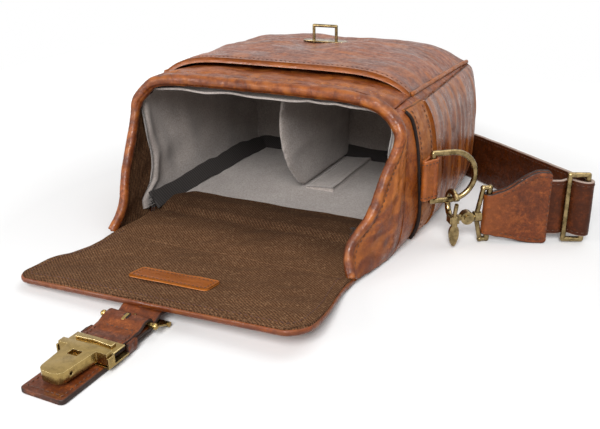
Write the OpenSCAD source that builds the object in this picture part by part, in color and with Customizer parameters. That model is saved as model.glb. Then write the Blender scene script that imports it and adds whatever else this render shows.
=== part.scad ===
// Leather camera bag lying on its back, flap open on the floor, with a tuck lock and a shoulder strap.
// Frame: +X right along the mouth, +Y from the mouth into the bag, +Z up from the back to the front panel.
// The origin is the centre of the back panel, on the floor. All sizes are in millimetres.

/* [Body] */
// Width of the body between its side seams
body_w = 214; // [190:1:235]
// Depth of the body from the mouth to the bottom panel
body_d = 190; // [176:1:215]
// Thickness of the body at the mouth
mouth_t = 111; // [104:1:122]
// Thickness of the body at the bottom panel
rear_t = 107; // [100:1:118]
// How far each side swells out at half height
side_bulge = 11; // [5:1:14]
// Height of the front pocket's crown above the seams
pocket_crown = 20; // [19:1:24]
// Height of the front panel's own crown under the pocket
front_crown = 11; // [8:1:11]
// Distance of the pocket's welt from the mouth
welt_back = 33; // [28:1:40]

/* [Layers] */
// Thickness of the leather panels
leather_t = 2.2; // [1.8:0.1:2.8]
// Thickness of the foam behind each panel
foam_t = 4.6; // [3.5:0.1:6]
// Thickness of the lining
lining_t = 1.8; // [1.4:0.1:2.4]
// How far the rolled rim stands in front of the panels
rim_out = 4.5; // [3.5:0.1:6]
// Thickness of the side gussets beside the flap
gusset_t = 7; // [5:0.1:8]
// How far the gussets reach forward along the floor
gusset_reach = 54; // [44:1:60]

/* [Flap] */
// Length of the flap from its fold to its front edge
flap_len = 146; // [136:1:158]
// Length of the flap's front part, which laps over the front pocket
flap_lap = 27; // [24:1:34]
// Thickness of the flap's padded lining
flap_pad_t = 3.6; // [2.8:0.1:4.4]
// How far the flap widens towards its front corners, on each side
flap_flare = 9.5; // [6:0.5:12]
// Radius of the flap's front corners
flap_corner = 18; // [14:1:24]
// Height that the lock holds the flap's front edge off the floor
flap_rise = 10; // [9:0.5:13]
// Length of the label patch
label_w = 62; // [44:1:72]
// Width of the label patch
label_h = 17.5; // [14:0.5:22]

/* [Divider] */
// Thickness of the padded divider
divider_t = 5; // [4:0.1:8]
// Distance of the divider's middle plane left of the centre
divider_left = 4; // [0:1:20]
// Length of the divider's tab across the floor
tab_len = 26; // [18:1:34]
// Thickness of the divider's tab
tab_t = 3; // [2:0.1:4]

/* [Lock] */
// Width of the lock strap
lock_w = 30; // [27:0.5:31]
// Sideways place of the lock strap
lock_x = 0; // [-4:1:5]
// Width of the lock's brass plates
plate_w = 34; // [32:0.5:37]
// Thickness of the lock's brass plates
plate_t = 1; // [0.8:0.1:1.4]
// Length of the tongue in front of its wings
tongue_len = 26; // [23:0.5:30]
// Width of the tongue at its wings
tongue_w = 20; // [18:0.5:22]
// Diameter of the buckle's wire
buckle_d = 3.4; // [2.8:0.1:4]
// Diameter of the tongue's pin
pin_d = 2.4; // [2:0.1:3]
// Inside width of the lock staple
staple_in = 18; // [16:0.5:22]
// Height of the lock staple above its plate
staple_h = 13.5; // [11:0.5:16]
// Diameter of the lock staple's wire
staple_d = 2.6; // [2:0.1:3.2]
// Distance of the lock staple behind the body's middle
staple_back = 25; // [10:1:35]

/* [Rings and hooks] */
// Length of a ring's straight bar between its legs
ring_in = 32; // [28:1:36]
// Diameter of the ring wire
ring_d = 4.2; // [3.6:0.1:4.6]
// Depth of a ring from its bar to the far side of its bow
ring_out = 35; // [32:0.5:40]
// Distance of the ring bars behind the mouth
ring_back = 30; // [26:1:36]
// Height of the ring bars' middle above the floor
ring_z = 53; // [48:1:58]
// Inside diameter of a hook's eye
eye_in = 16; // [15:0.5:18]
// Diameter of the hook wire
hook_d = 4.4; // [3.4:0.1:4.8]
// Inside height of a hook frame
frame_in = 36; // [35:1:40]

/* [Strap] */
// Width of the shoulder strap
strap_w = 42; // [38:1:44]
// Thickness of the shoulder strap
strap_t = 2.6; // [2:0.1:3.2]
// Length of a chape, from the hook frame's bar to its wide end
chape_len = 43; // [40:1:50]
// Height of a chape's wide end
chape_h = 56; // [52:1:58]
// Thickness of each of a chape's two leaves
leaf_t = 2.2; // [1.8:0.1:2.6]
// Distance of the slider's near bar from the hook frame's bar
slider_at = 56; // [54:1:66]
// Length of the slider along the strap, between its bars
slider_l = 13; // [12.5:0.5:16]
// Diameter of the slider's wire
slider_d = 4; // [3.4:0.1:4.4]

/* [Hidden] */
$fn = 48;

half_w = body_w / 2;
half_d = body_d / 2;
// Gap between two pieces of one body that lie on each other
seat = 0.05;
// Gap between a soft piece and a piece that moves past it
clear = 0.3;
// Radial running gap of a pin in its bore
fit = 0.06;
// Thickness of a panel with its foam and lining
wall_t = leather_t + foam_t + lining_t + 3 * seat;
// Inside of the leather, of the foam and of the lining, from the outer face
in_leather = leather_t + seat;
in_foam = in_leather + foam_t + seat;
// Level of the lining on the floor of the bag
floor_z = wall_t - seat;
welt_y = -half_d + welt_back;
// Line on the floor of the bag where the twill facing meets the lining
facing_y = welt_y - 5;

// Fold of the flap in front of the rim, and the flap's own lines
fold_y = -half_d - rim_out - 0.7;
front_y = fold_y - flap_len;
lap_y = front_y + flap_lap;
flap_flat = 50;
flap_t = leather_t + seat + flap_pad_t;
flap_half = half_w - gusset_t - 0.5;
lift = 0.2;

leather = "#8f4e2c";
pale_leather = "#a9693a";
dark_leather = "#5c301b";
grey = "#8d8883";
twill = "#5a4232";
black = "#33302f";
brass = "#8a7440";
foam = "#d8cfb8";

// Shape of the body

// Thickness of the body between its seams at depth y
function thick_at(y) = mouth_t + (rear_t - mouth_t) * (y + half_d) / body_d;

// 1 over most of the width, falling to 0 at the seams
function square_off(x) = 1 - pow(min(1, abs(x) / (half_w - 1)), 6);

// Share of the crown at depth y, full at the lock staple
function swell(y) = y < staple_back
    ? 1 - 0.38 * pow((staple_back - y) / (half_d + staple_back), 2.2)
    : 1 - 0.85 * pow((y - staple_back) / (half_d - staple_back), 6);

// Share of the front panel's own crown at depth y: full from the mouth to past the middle
front_full = 20;
function front_swell(y) = 1 - 0.85 * pow(max(0, y - front_full) / (half_d - front_full), 6);

// Share of the side's bulge at depth y
function belly(y) = y < -50
    ? 0.65 + 0.35 * sin(90 * max(0, y + half_d) / (half_d - 50))
    : y < 50 ? 1 : 1 - 0.6 * pow((y - 50) / (half_d - 50), 2);

// Outer faces of the front pocket, of the front panel and of a side panel
function pocket_z(x, y) = thick_at(y) + pocket_crown * square_off(x) * swell(y);
function front_z(x, y) = thick_at(y) - in_leather + front_crown * square_off(x) * front_swell(y);
function side_x(y, z) = half_w
    + side_bulge * belly(y) * (1 - pow(abs(2 * z / thick_at(max(y, -half_d)) - 1), 4));

// Front edge of a side gusset at height z
function gusset_y(z) = -half_d - rim_out - gusset_reach * pow(max(0, 1 - z / (mouth_t - 6)), 1.4);

// Underside of the flap at y: flat on the floor, then rising to the lock
function flap_under(y) = lift
    + flap_rise * pow(max(0, (fold_y - flap_flat - y) / (flap_len - flap_flat)), 1.3);

// n + 1 even steps from a to b
function steps(a, b, n) = [for (i = [0:n]) a + (b - a) * i / n];

// Closed plate between two surfaces that share a grid; top is the surface on the side of u cross v
module sheet(us, vs, top, under, flip = false) {
    nu = len(us);
    nv = len(vs);
    n = nu * nv;
    points = concat([for (u = us) for (v = vs) top(u, v)], [for (u = us) for (v = vs) under(u, v)]);
    edge = concat([for (i = [0:nu - 2]) i * nv], [for (j = [0:nv - 2]) (nu - 1) * nv + j],
        [for (i = [nu - 1:-1:1]) i * nv + nv - 1], [for (j = [nv - 1:-1:1]) j]);
    m = len(edge);
    upper = [for (i = [0:nu - 2]) for (j = [0:nv - 2]) let (k = i * nv + j)
        each [[k, k + nv + 1, k + nv], [k, k + 1, k + nv + 1]]];
    lower = [for (f = upper) [f[0] + n, f[2] + n, f[1] + n]];
    sides = [for (i = [0:m - 1]) let (a = edge[i], b = edge[(i + 1) % m])
        each [[a, b, b + n], [a, b + n, a + n]]];
    faces = concat(upper, lower, sides);
    polyhedron(points, flip ? [for (f = faces) [f[0], f[2], f[1]]] : faces, convexity = 8);
}

// Grid lines that the layers of a wall share, so that their faces stay parallel
wall_xs = concat(steps(0, 0.86 * half_w, 6), [half_w - wall_t, half_w - in_foam, half_w - in_leather]);
wall_ys = concat(steps(-half_d, half_d - 2 * wall_t, 8), [half_d - in_foam, half_d - in_leather, half_d]);
side_rows = 16;
function side_z(y, k) = let (t = thick_at(y))
    k < 2 ? k * in_leather
    : k > side_rows - 2 ? t - (side_rows - k) * in_leather
    : in_foam + (k - 2) / (side_rows - 4) * (t - 2 * in_foam);
function up_to(list, end) = [for (v = list) if (v < end + 0.01) v];
function both_ways(list) = concat([for (i = [len(list) - 1:-1:1]) -list[i]], list);

// Plate of a side wall from depth d0 to d1 below the outer face, without the rows next to the front and back
module side_plate(side, d0, d1, skip, rear) {
    place = function (y, k, d) let (z = side_z(y, k)) [side * (side_x(y, z) - d), y, z];
    rows = [for (k = [skip:side_rows - skip]) k];
    sheet(up_to(wall_ys, rear), rows, function (y, k) place(y, k, d0),
        function (y, k) place(y, k, d1), side < 0);
}

// Plate of the front wall from depth d0 to d1 below the panel's outer face
module front_plate(d0, d1, half, rear) {
    sheet(both_ways(up_to(wall_xs, half)), up_to(wall_ys, rear),
        function (x, y) [x, y, front_z(x, y) - d0], function (x, y) [x, y, front_z(x, y) - d1]);
}

// Flat plate of the back wall
module back_plate(z0, z1, half, y0, y1) {
    translate([-half, y0, z0]) cube([2 * half, y1 - y0, z1 - z0]);
}

// Plate of the bottom wall, its outline kept inside the other walls
module bottom_plate(inset, y0, y1) {
    top = thick_at(half_d) - in_leather - inset - 2;
    rows = [for (k = [0:side_rows]) side_z(half_d, k)];
    side_zs = concat([inset], [for (z = rows) if (z > inset + 0.1 && z < top - 0.1) z], [top]);
    right = [for (z = side_zs) [side_x(half_d, z) - inset, z]];
    arch = [for (x = steps(half_w - inset - 3, -half_w + inset + 3, 12)) [x, front_z(x, half_d) - inset]];
    left = [for (i = [len(right) - 1:-1:0]) [-right[i][0], right[i][1]]];
    translate([0, y1, 0]) rotate([90, 0, 0]) linear_extrude(y1 - y0) polygon(concat(right, arch, left));
}

// Profile drawn in Y and Z, extruded along X over width w about the middle
module along_x(w) {
    rotate([90, 0, 90]) linear_extrude(w, center = true) children();
}

// Walls

module back_panel() {
    color(leather) back_plate(0, leather_t, half_w - in_leather, fold_y + clear, half_d);
}

module back_foam() {
    color(foam) back_plate(in_leather, in_leather + foam_t, half_w - in_foam, -half_d, half_d - in_leather);
}

module back_lining() {
    color(grey) back_plate(in_foam, floor_z, half_w - wall_t, facing_y, half_d - in_foam);
}

module mouth_facing() {
    color(twill) back_plate(in_foam, floor_z, half_w - wall_t, -half_d - rim_out, facing_y - seat);
}

module front_panel() {
    color(leather) front_plate(0, leather_t, half_w - in_leather, half_d);
}

module front_foam() {
    color(foam) front_plate(in_leather, in_leather + foam_t, half_w - in_foam, half_d - in_leather);
}

module front_lining() {
    color(grey) front_plate(in_foam, floor_z, half_w - wall_t, half_d - in_foam);
}

module side_panel(side) {
    color(leather) side_plate(side, 0, leather_t, 0, half_d);
}

module side_foam(side) {
    color(foam) side_plate(side, in_leather, in_leather + foam_t, 2, half_d - in_leather);
}

module side_lining(side) {
    color(grey) side_plate(side, in_foam, floor_z, 2, half_d - in_foam);
}

module bottom_panel() {
    color(leather) bottom_plate(in_leather, half_d - leather_t, half_d - seat);
}

module bottom_foam() {
    color(foam) bottom_plate(in_foam, half_d - in_leather - foam_t, half_d - in_leather);
}

module bottom_lining() {
    color(grey) bottom_plate(wall_t, half_d - in_foam - lining_t, half_d - in_foam);
}

// Rolled rim along the front panel's edge of the mouth
module mouth_rim() {
    half = half_w - 0.5;
    rim_top = function (x, y) [x, y, front_z(x, -half_d) + 0.3];
    rim_under = function (x, y) [x, y, front_z(x, -half_d) - wall_t];
    color(leather) sheet(steps(-half, half, 14), [-half_d - rim_out, -half_d - seat], rim_top, rim_under);
}

// Side gusset between the mouth and the flap, leaning in at its front
module gusset(side) {
    top = mouth_t - in_leather - wall_t - 1;
    y_at = function (u, z) -half_d - seat + u * (gusset_y(z) + half_d + seat);
    lean = function (u, z) 7 * u * min(1, max(0, (z - 8) / 15)) * max(0, 1 - z / 60);
    place = function (u, z, d) [side * (side_x(-half_d, z) - lean(u, z) - d), y_at(u, z), z];
    color(leather) sheet(steps(0, 1, 8), steps(in_leather, top, 14),
        function (u, z) place(u, z, 0), function (u, z) place(u, z, gusset_t), side > 0);
}

// Dark tape where the lining's floor meets its walls
module edge_tape() {
    half = half_w - wall_t - 0.5;
    rear = half_d - in_foam - lining_t - 0.2;
    tape_w = 6;
    tape_t = 1.4;
    front = -half_d + 2;
    color(black) translate([0, 0, floor_z + seat]) linear_extrude(tape_t) difference() {
        translate([-half, front]) square([2 * half, rear - front]);
        translate([-half + tape_w, front - 1]) square([2 * (half - tape_w), rear - front + 1 - tape_w]);
    }
}

// Padded pocket panel over the front, open at its welt, with holes for the lock staple
module front_pocket() {
    half = half_w - in_leather;
    color(leather) difference() {
        sheet(steps(-half, half, 20), steps(welt_y, half_d, 14),
            function (x, y) [x, y, pocket_z(x, y)], function (x, y) [x, y, pocket_z(x, y) - leather_t]);
        staple_holes();
    }
}

// Edge of the side strip nearest the mouth at height z; the strip leans back towards the floor
strip_w = 27;
strip_t = 2;
// Gap under leather laid on a curved wall
layer_gap = 0.35;
function strip_y(z) = -half_d + 10 + 22 * (1 - z / mouth_t);

// Leather laid on a side wall between two edges that may vary with height
module side_layer(side, y0, y1, thickness) {
    margin = 1.5;
    z_at = function (v) margin + v * (rear_t - 2 * margin);
    y_at = function (u, v) y0(z_at(v)) + u * (y1(z_at(v)) - y0(z_at(v)));
    place = function (u, v, d) let (y = y_at(u, v), z = z_at(v)) [side * (side_x(y, z) + d), y, z];
    sheet(steps(0, 1, 10), steps(0, 1, 14), function (u, v) place(u, v, layer_gap + thickness),
        function (u, v) place(u, v, layer_gap), side < 0);
}

module side_strip(side) {
    color(pale_leather)
        side_layer(side, function (z) strip_y(z), function (z) strip_y(z) + strip_w, strip_t);
}

module side_pocket(side) {
    groove = 1.5;
    color(leather)
        side_layer(side, function (z) strip_y(z) + strip_w + groove, function (z) half_d, leather_t);
}

// Ring tabs: a leather loop round the ring's bar, with a foot on the strip
tab_foot = 12;
tab_h = ring_in - 2;
bar_y = -half_d + ring_back;
tab_x = side_x(bar_y + tab_foot, mouth_t / 2) + layer_gap + strip_t + seat;
bar_x = tab_x + leather_t + ring_d / 2 + fit;
tab_r = ring_d / 2 + fit + leather_t;

module ring_tab(side) {
    color(leather) translate([side * bar_x, bar_y, ring_z]) difference() {
        union() {
            cylinder(h = tab_h, r = tab_r, center = true);
            translate([side > 0 ? tab_x - bar_x : 0, 0, -tab_h / 2])
                cube([bar_x - tab_x, tab_foot, tab_h]);
        }
        cylinder(h = tab_h + 1, r = ring_d / 2 + fit, center = true);
        translate([side > 0 ? tab_x - bar_x - tab_r : bar_x - tab_x, -tab_r, -tab_h])
            cube([tab_r, 2 * tab_r + tab_foot, 2 * tab_h]);
    }
}

// Lock staple on the front pocket

staple_z = pocket_z(0, staple_back);
staple_plate_t = 1;
staple_leg = (staple_in + staple_d) / 2;
staple_under = staple_z - leather_t - seat;
staple_ends = staple_leg + 5;

// Bores for the staple's legs
module staple_holes() {
    for (side = [-1, 1])
        translate([side * staple_leg, staple_back, staple_z])
            cylinder(h = 30, d = staple_d + 2 * fit, center = true);
}

// Plate with round ends under the staple
module staple_plate() {
    plate_l = 9;
    color(brass) difference() {
        translate([0, staple_back, staple_z + 3 * seat]) linear_extrude(staple_plate_t) union() {
            square([2 * staple_ends, plate_l], center = true);
            for (side = [-1, 1])
                translate([side * staple_ends, 0]) circle(d = plate_l);
        }
        staple_holes();
    }
}

// Arch of wire whose legs pass through the plate and the leather and are clenched under it
module lock_staple() {
    top = staple_z + staple_plate_t + staple_h - staple_d / 2;
    clench_h = 1;
    color(brass) translate([0, staple_back, 0]) {
        for (side = [-1, 1]) {
            translate([side * staple_leg, 0, staple_under]) cylinder(h = top - staple_under, d = staple_d);
            translate([side * staple_leg, 0, staple_under - clench_h])
                cylinder(h = clench_h, d = staple_d + 2);
            translate([side * staple_leg, 0, top]) sphere(d = staple_d);
        }
        translate([0, 0, top]) rotate([0, 90, 0]) cylinder(h = 2 * staple_leg, d = staple_d, center = true);
    }
}

// Divider

divider_bottom = floor_z + 2.2;
divider_top = thick_at(half_d) - 2 * in_leather - wall_t + 1;
divider_rear = half_d - wall_t - 0.35;

// Upright padded plate whose front edge reaches forward towards its top
module divider() {
    h = divider_top - divider_bottom;
    front = [[divider_bottom, -14], [divider_bottom + 0.16 * h, -32], [divider_bottom + 0.38 * h, -46],
        [divider_bottom + 0.64 * h, -54], [divider_bottom + 0.9 * h, -53], [divider_top, -48]];
    rise = front_crown - 3;
    color(grey) translate([-divider_left, 0, 0]) along_x(divider_t)
        polygon(concat([for (p = front) [p[1], p[0]]],
            [[-40, divider_top + rise], [half_d / 2, divider_top + rise]],
            [[divider_rear, divider_top], [divider_rear, divider_bottom]]));
}

// Tab that sticks to the floor beside the divider
module divider_tab() {
    x0 = -divider_left + divider_t / 2 + clear;
    color(grey) translate([x0, -14, floor_z + clear]) cube([tab_len, divider_rear - 6 + 14, tab_t]);
}

// Flap

// Plan of the flap, with a flare and round corners at the front
module flap_plan() {
    wide = flap_half + flap_flare;
    corner_at = [wide - flap_corner, front_y + flap_corner];
    arc = [for (a = [0:-15:-90]) corner_at + flap_corner * [cos(a), sin(a)]];
    right = concat([[flap_half, fold_y - 0.1], [flap_half, fold_y - gusset_reach - 14]], arc);
    left = [for (i = [len(right) - 1:-1:0]) [-right[i][0], right[i][1]]];
    polygon(concat(right, left));
}

// Layer of the flap between y0 and y1, from height h0 to h1 above its underside
module flap_layer(y0, y1, h0, h1) {
    ys = steps(y0, y1, 8);
    under = [for (y = ys) [y, flap_under(y) + h0]];
    over = [for (i = [len(ys) - 1:-1:0]) [ys[i], flap_under(ys[i]) + h1]];
    intersection() {
        along_x(2 * body_w) polygon(concat(under, over));
        translate([0, 0, -20]) linear_extrude(80) flap_plan();
    }
}

module flap_leather() {
    color(leather) flap_layer(fold_y - clear, lap_y + clear, 0, leather_t);
}

module flap_lining() {
    color(twill) flap_layer(fold_y - clear, lap_y + clear, leather_t + seat, flap_t);
}

module lap_leather() {
    color(leather) flap_layer(lap_y - clear, front_y, 0, leather_t);
}

module lap_lining() {
    color(twill) flap_layer(lap_y - clear, front_y, leather_t + seat, flap_t);
}

// Bare patch sewn on the flap's lining, on the slope just behind the lap
module label_patch() {
    label_x = -2;
    y1 = lap_y + 1 + label_h;
    label_t = 1.6;
    slope = atan2(flap_under(y1) - flap_under(y1 - label_h), label_h);
    lift_off = max([for (y = steps(y1 - label_h, y1, 8))
        flap_under(y) - flap_under(y1) - (y - y1) * tan(slope)]);
    color(pale_leather) translate([label_x, y1, flap_under(y1) + flap_t + seat + lift_off + 0.1])
        rotate([slope, 0, 0]) translate([-label_w / 2, -label_h, 0]) cube([label_w, label_h, label_t]);
}

// Lock strap

// Swing line of the lock strap, just in front of the flap's edge
swing_y = front_y - leather_t / 2 - clear;
swing_z = flap_under(front_y) - leather_t / 2 - seat;
billet_t = leather_t;
buckle_y = swing_y - 11;
keeper_t = 2;
tail_z = lift + keeper_t + seat;
strap_z = tail_z + billet_t + 2 * seat;
lock_t = 2 * leather_t;
lock_top = strap_z + lock_t;
buckle_hole = buckle_d / 2 + fit;
buckle_fold = buckle_hole + leather_t;
bar_z = strap_z + buckle_fold;
lock_end = buckle_y - 35;
wing_y = lock_end - 1;
wing_l = 4.6;
wing_z = strap_z + 0.7;
wing_top = lock_top + plate_t + 2.6;
pin_y = wing_y - wing_l / 2;
pin_z = strap_z + 3.2;
tip_y = wing_y - wing_l - tongue_len - 7;

module at_lock() {
    translate([lock_x, 0, 0]) children();
}

// Strap sewn to the outside of the flap's front part
module billet() {
    ys = steps(lap_y - 2, front_y, 6);
    color(dark_leather) at_lock() along_x(lock_w) polygon(concat(
        [for (y = ys) [y, flap_under(y) - seat - billet_t]],
        [for (i = [len(ys) - 1:-1:0]) [ys[i], flap_under(ys[i]) - seat]]));
}

// Free end of the billet: through the buckle and under the lock strap into the keeper
module billet_tail() {
    tail_top = tail_z + billet_t;
    top = [[swing_y, swing_z + billet_t / 2], [buckle_y + 1, tail_top], [lock_end + 14, tail_top]];
    under = [for (i = [2:-1:0]) top[i] - [0, billet_t]];
    color(dark_leather) at_lock() difference() {
        along_x(lock_w - 1) union() {
            polygon(concat(top, under));
            translate([swing_y, swing_z]) circle(d = billet_t);
        }
        translate([0, buckle_y + 5, 0]) cylinder(h = 30, d = 4, center = true);
    }
}

frame_half = lock_w / 2 + 2.2;
frame_back = 15;

// Wire frame: a bar with knobs in the lock strap's fold, two thinner arms and a front bar under the billet
module buckle_frame() {
    tilt = atan2(lift + buckle_d / 2 - bar_z, frame_back);
    arm_d = buckle_d - 0.8;
    color(brass) at_lock() translate([0, buckle_y, bar_z]) rotate([tilt, 0, 0]) {
        for (y = [0, frame_back])
            translate([0, y, 0]) rotate([0, 90, 0])
                cylinder(h = 2 * frame_half + buckle_d, d = buckle_d, center = true);
        for (side = [-1, 1]) {
            translate([side * frame_half, 0, 0]) rotate([-90, 0, 0]) cylinder(h = frame_back, d = arm_d);
            translate([side * (frame_half + buckle_d / 2), 0, 0]) sphere(d = buckle_d + 0.8);
        }
    }
}

// Prong on the buckle's bar, resting in the hole of the billet
module buckle_prong() {
    prong_d = 2.4;
    prong_r = buckle_hole + 1.4;
    post_y = buckle_y + 5;
    color(brass) at_lock() {
        translate([0, buckle_y, bar_z]) rotate([0, 90, 0]) difference() {
            cylinder(h = prong_d, r = prong_r, center = true);
            cylinder(h = prong_d + 1, r = buckle_hole, center = true);
        }
        translate([-prong_d / 2, buckle_y + buckle_hole + 0.2, bar_z - 1]) cube([prong_d, 2.4, 2]);
        translate([0, post_y, tail_z + 0.2]) cylinder(h = bar_z + 1 - tail_z - 0.2, d = prong_d);
    }
}

// Leather loop under the lock strap that holds the billet's free end
module keeper() {
    keeper_w = 9;
    y0 = buckle_y - 14 - keeper_w;
    inner = lock_w / 2 + seat;
    color(leather) at_lock() translate([0, y0, lift]) difference() {
        translate([-inner - keeper_t, 0, 0]) cube([2 * (inner + keeper_t), keeper_w, lock_top - lift - 0.4]);
        translate([-inner, -1, keeper_t]) cube([2 * inner, keeper_w + 2, 30]);
    }
}

// Doubled leather folded round the buckle's bar, with a slot for the prong
module lock_strap() {
    slope_y = buckle_y + 0.37 * (lock_end - buckle_y);
    slot_w = 5;
    color(leather) at_lock() difference() {
        along_x(lock_w) union() {
            translate([buckle_y, bar_z]) circle(r = buckle_fold);
            polygon([[buckle_y, bar_z + buckle_fold], [slope_y, lock_top], [lock_end, lock_top],
                [lock_end, strap_z], [slope_y, strap_z], [buckle_y, bar_z - buckle_fold]]);
        }
        translate([0, buckle_y, bar_z]) rotate([0, 90, 0])
            cylinder(h = 2 * lock_w, r = buckle_hole, center = true);
        translate([-slot_w / 2, buckle_y - 5, -1]) cube([slot_w, 20, 40]);
    }
}

module lock_plate() {
    plate_l = 10;
    color(brass) at_lock() translate([-plate_w / 2, lock_end, lock_top + seat])
        cube([plate_w, plate_l, plate_t]);
}

// Spring bar with a narrow waist on the top plate
module lock_spring() {
    half = plate_w / 2 - 4;
    end_l = 4;
    waist = 1.6;
    color(brass) at_lock() translate([0, lock_end + 5.5, lock_top + plate_t + 2 * seat]) linear_extrude(1.6)
        polygon([[-half, -end_l / 2], [0, -waist / 2], [half, -end_l / 2], [half, end_l / 2], [0, waist / 2],
            [-half, end_l / 2]]);
}

// Lower plate with two cheeks that carry the tongue's pin
module lock_front() {
    cheek_x = plate_w / 2 + 0.4;
    y0 = wing_y - wing_l - 0.6;
    z0 = strap_z - seat - plate_t;
    front_l = lock_end + 11 - y0;
    color(brass) at_lock() difference() {
        union() {
            translate([-cheek_x - plate_t, y0, z0]) cube([2 * (cheek_x + plate_t), front_l, plate_t]);
            for (side = [-1, 1])
                translate([side > 0 ? cheek_x : -cheek_x - plate_t, y0, z0])
                    cube([plate_t, wing_l + 0.8, pin_z - z0 + pin_d]);
        }
        translate([0, pin_y, pin_z]) rotate([0, 90, 0])
            cylinder(h = 3 * plate_w, d = pin_d + 2 * fit, center = true);
    }
}

module lock_pin() {
    color(brass) at_lock() translate([0, pin_y, pin_z]) rotate([0, 90, 0])
        cylinder(h = plate_w + 2 * plate_t + 0.8, d = pin_d, center = true);
}

// Leather tab under the lock, its corners rounded a little
module pull_tab() {
    root_y = lock_end + 7;
    tab_half = lock_w / 2;
    tab_h = strap_z - 2 * seat - plate_t - lift;
    round_r = 2.5;
    color(leather) at_lock() translate([0, 0, lift]) linear_extrude(tab_h) union() {
        translate([-tab_half, tip_y + round_r]) square([lock_w, root_y - tip_y - round_r]);
        hull() for (side = [-1, 1])
            translate([side * (tab_half - round_r), tip_y + round_r]) circle(r = round_r, $fn = 32);
    }
}

// Tongue with two wings, a tapered round-nosed blade, a square window and a cross hole
module lock_tongue() {
    blade_y = wing_y - wing_l;
    nose_r = 5;
    nose_half = tongue_w / 2 - 2;
    nose_y = blade_y - tongue_len + nose_r;
    z0 = wing_z + 0.6;
    window = [7, 5];
    color(brass) at_lock() difference() {
        union() {
            translate([-plate_w / 2, wing_y - wing_l, wing_z]) cube([plate_w, wing_l, wing_top - wing_z]);
            translate([0, 0, z0]) linear_extrude(wing_top - z0) union() {
                polygon([[-tongue_w / 2, blade_y + 1], [-nose_half, nose_y], [nose_half, nose_y],
                    [tongue_w / 2, blade_y + 1]]);
                hull() for (side = [-1, 1])
                    translate([side * (nose_half - nose_r), nose_y]) circle(r = nose_r);
            }
        }
        translate([-window[0] / 2, blade_y - window[1] - 3, wing_top - 3]) cube([window[0], window[1], 6]);
        translate([0, nose_y + 3, (z0 + wing_top) / 2]) rotate([0, 90, 0])
            cylinder(h = 2 * tongue_w, d = 2.2, center = true);
        translate([0, pin_y, pin_z]) rotate([0, 90, 0])
            cylinder(h = 2 * plate_w, d = pin_d + 2 * fit, center = true);
    }
}

// Rings, hooks and strap ends

// Turn of the ring, of the hook and of the chape about the vertical, from +X
right_turns = [38, 35, 21.6];
left_turns = [122, 104, 96];
function turns(side) = side > 0 ? right_turns : left_turns;
function ahead(a) = [cos(a), sin(a)];

link_out = 16;
eye_r = (eye_in + hook_d) / 2;
eye_drop = eye_in / 2 - ring_d / 2 - 2;
eye_aside = 2;
frame_at = 28;
leg_z = ring_z - ring_in / 2 - ring_d / 2;

function bar_at(side) = [side * bar_x, bar_y];
function eye_at(side) = bar_at(side) + link_out * ahead(turns(side)[0])
    - side * eye_aside * ahead(turns(side)[0] + 90);
function frame_bar(side) = eye_at(side) + frame_at * ahead(turns(side)[1]);
eye_z = leg_z - eye_drop;
neck_z = eye_z - eye_r;
frame_z = lift + frame_in / 2 + hook_d;

// D-shaped ring: a bar in the tab, two legs and a half-round bow
module ring(side) {
    leg = (ring_in + ring_d) / 2;
    straight = ring_out - leg - ring_d / 2;
    color(brass) translate(concat(bar_at(side), ring_z)) rotate([0, 0, turns(side)[0]]) {
        cylinder(h = 2 * leg, d = ring_d, center = true);
        for (end = [-1, 1]) {
            translate([0, 0, end * leg]) sphere(d = ring_d);
            translate([0, 0, end * leg]) rotate([0, 90, 0]) cylinder(h = straight, d = ring_d);
        }
        translate([straight, 0, 0]) rotate([90, 0, 0]) rotate([0, 0, -90])
            rotate_extrude(angle = 180) translate([leg, 0]) circle(d = ring_d);
    }
}

// Place of a hook: x along its shank, the gate at +y, which is the side away from the bag
module at_eye(side) {
    translate(concat(eye_at(side), eye_z)) rotate([0, 0, turns(side)[1]])
        if (side > 0) mirror([0, 1, 0]) children();
        else children();
}

swivel_d = 4;
swivel_x = 17;

// Gate pin beside the neck, in the plane of the eye
gate_at = eye_r * [cos(60), -sin(60)];
gate_pin_d = 1.8;
gate_d = 3;
cheek_t = 1.2;
knuckle_l = 4.2;
knuckle_d = 4.4;
gap_from = -78;
gap_to = 38;

// Hook: an open eye round the ring's leg, a neck, a round boss with a swivel post and cheeks for the gate
module hook(side) {
    boss_d = 10;
    boss_w = 6;
    boss_x = swivel_x - 0.5 - boss_d / 2;
    cheek_x = knuckle_l / 2 + 0.2;
    color(brass) at_eye(side) {
        rotate([0, 0, 90]) rotate([90, 0, 0]) rotate([0, 0, gap_to])
            rotate_extrude(angle = 360 + gap_from - gap_to) translate([eye_r, 0]) circle(d = hook_d);
        translate([0, 0, -eye_r]) rotate([0, 90, 0]) cylinder(h = swivel_x - 4, d = hook_d + 0.5);
        translate([boss_x, 0, -eye_r]) rotate([90, 0, 0]) cylinder(h = boss_w, d = boss_d, center = true);
        translate([boss_x, 0, -eye_r]) rotate([90, 0, 0]) cylinder(h = boss_w + 2, d = 5, center = true);
        translate([swivel_x - 3, 0, -eye_r]) rotate([0, 90, 0]) cylinder(h = 8.2, d = swivel_d);
        for (x = [-cheek_x - cheek_t, cheek_x])
            translate([x, -1, -eye_r - 2]) cube([cheek_t, gate_at[0] + 3, 5]);
        translate([cheek_x, -1, -eye_r - 2]) cube([3, 3, 4]);
        translate([0, gate_at[0], gate_at[1]]) rotate([0, 90, 0])
            cylinder(h = 2 * (cheek_x + cheek_t), d = gate_pin_d, center = true);
    }
}

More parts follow.
